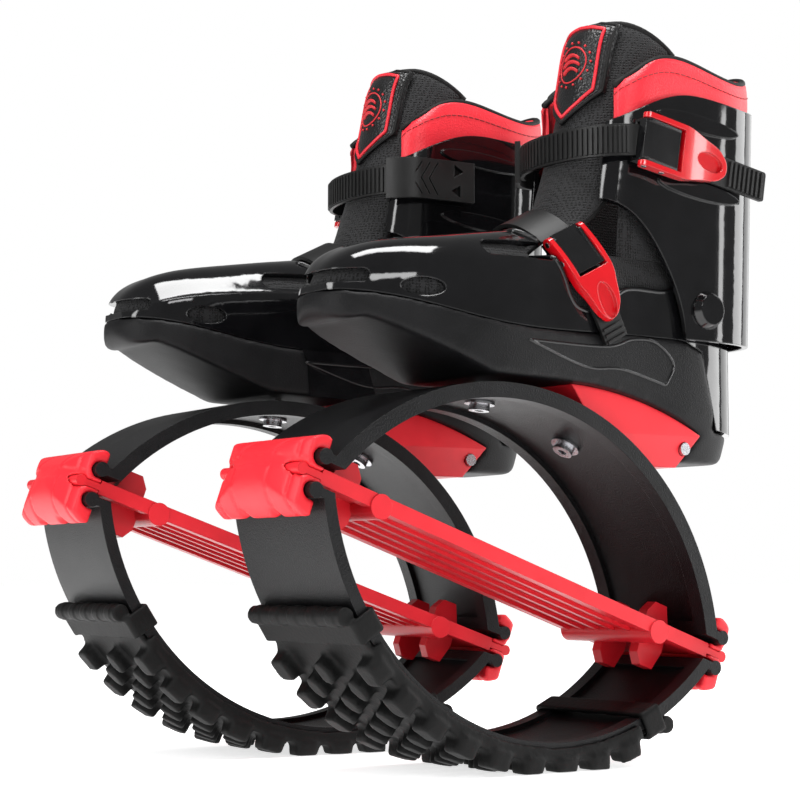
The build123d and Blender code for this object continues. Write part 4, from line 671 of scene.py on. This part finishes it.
FLOOR_HALF, FLOOR_DROP = 30.0, 0.0005
FLOOR_GREYS, FLOOR_GLOW = (0.86, 0.90), 0.70
floor_mesh = bpy.data.meshes.new("floor")
corners = [(x * FLOOR_HALF, y * FLOOR_HALF, 0) for x, y in ((-1, -1), (1, -1), (1, 1), (-1, 1))]
floor_mesh.from_pydata(corners, [], [(0, 1, 2, 3)])
floor = bpy.data.objects.new("floor", floor_mesh)
bpy.context.scene.collection.objects.link(floor)
floor.location.z = -FLOOR_DROP
pale = bpy.data.materials.new("floor")
pale.use_nodes = True
t = pale.node_tree
bsdf = t.nodes["Principled BSDF"]
bsdf.inputs["Roughness"].default_value = 0.9
noise = add(t, "TexNoise", Scale=3.0)
tint = add(t, "ValToRGB")
for stop, grey in zip(tint.color_ramp.elements, FLOOR_GREYS):
    stop.color = (grey, grey, grey, 1)
t.links.new(noise.outputs["Fac"], tint.inputs[0])
t.links.new(tint.outputs[0], bsdf.inputs["Base Color"])
bsdf.inputs["Emission Color"].default_value = WHITE
bsdf.inputs["Emission Strength"].default_value = FLOOR_GLOW
floor_mesh.materials.append(pale)

# Place, width, height and power of each soft box; all of them face the shoes
SOFT_BOXES = {
    "top_box": ((0.1, 0.3, 1.9), 1.2, 0.5, 30),
    "left_box": ((1.6, 0.1, 0.8), 0.3, 1.4, 12),
    "right_box": ((-1.75, 0.55, 0.7), 0.55, 1.5, 13),
    "back_box": ((-1.6, -0.3, 0.7), 1.0, 1.4, 6),
    "side_box": ((-1.38, 1.12, 0.42), 0.10, 0.7, 1.6),
    "front_box": ((0.5, 1.9, 1.1), 1.0, 0.3, 9),
}
SHOES_MIDDLE = Vector((0, 0, 0.22))
for name, (place, wide, high, power) in SOFT_BOXES.items():
    lamp = bpy.data.objects.new(name, bpy.data.lights.new(name, "AREA"))
    lamp.data.shape = "RECTANGLE"
    lamp.data.size, lamp.data.size_y = wide, high
    lamp.data.energy = power
    lamp.location = place
    lamp.rotation_euler = (SHOES_MIDDLE - Vector(place)).to_track_quat("-Z", "Y").to_euler()
    bpy.context.scene.collection.objects.link(lamp)

# World: white to the camera and through glass, dimmer in gloss, and grey as a light
world = bpy.data.worlds.new("world")
bpy.context.scene.world = world
world.use_nodes = True
t = world.node_tree
t.nodes.clear()
link = t.links.new
out = add(t, "OutputWorld")
path = add(t, "LightPath")
white, ambient, mirrored = (add(t, "Background", Color=WHITE, Strength=strength)
                            for strength in (1.0, 0.42, 0.22))
unseen = add(t, "MixShader")
link(path.outputs["Is Glossy Ray"], unseen.inputs[0])
link(ambient.outputs[0], unseen.inputs[1])
link(mirrored.outputs[0], unseen.inputs[2])
seen = add(t, "Math")
seen.operation = "MAXIMUM"
link(path.outputs["Is Camera Ray"], seen.inputs[0])
link(path.outputs["Is Transmission Ray"], seen.inputs[1])
either = add(t, "MixShader")
link(seen.outputs[0], either.inputs[0])
link(unseen.outputs[0], either.inputs[1])
link(white.outputs[0], either.inputs[2])
link(either.outputs[0], out.inputs[0])
bpy.context.scene.view_settings.view_transform = "Standard"
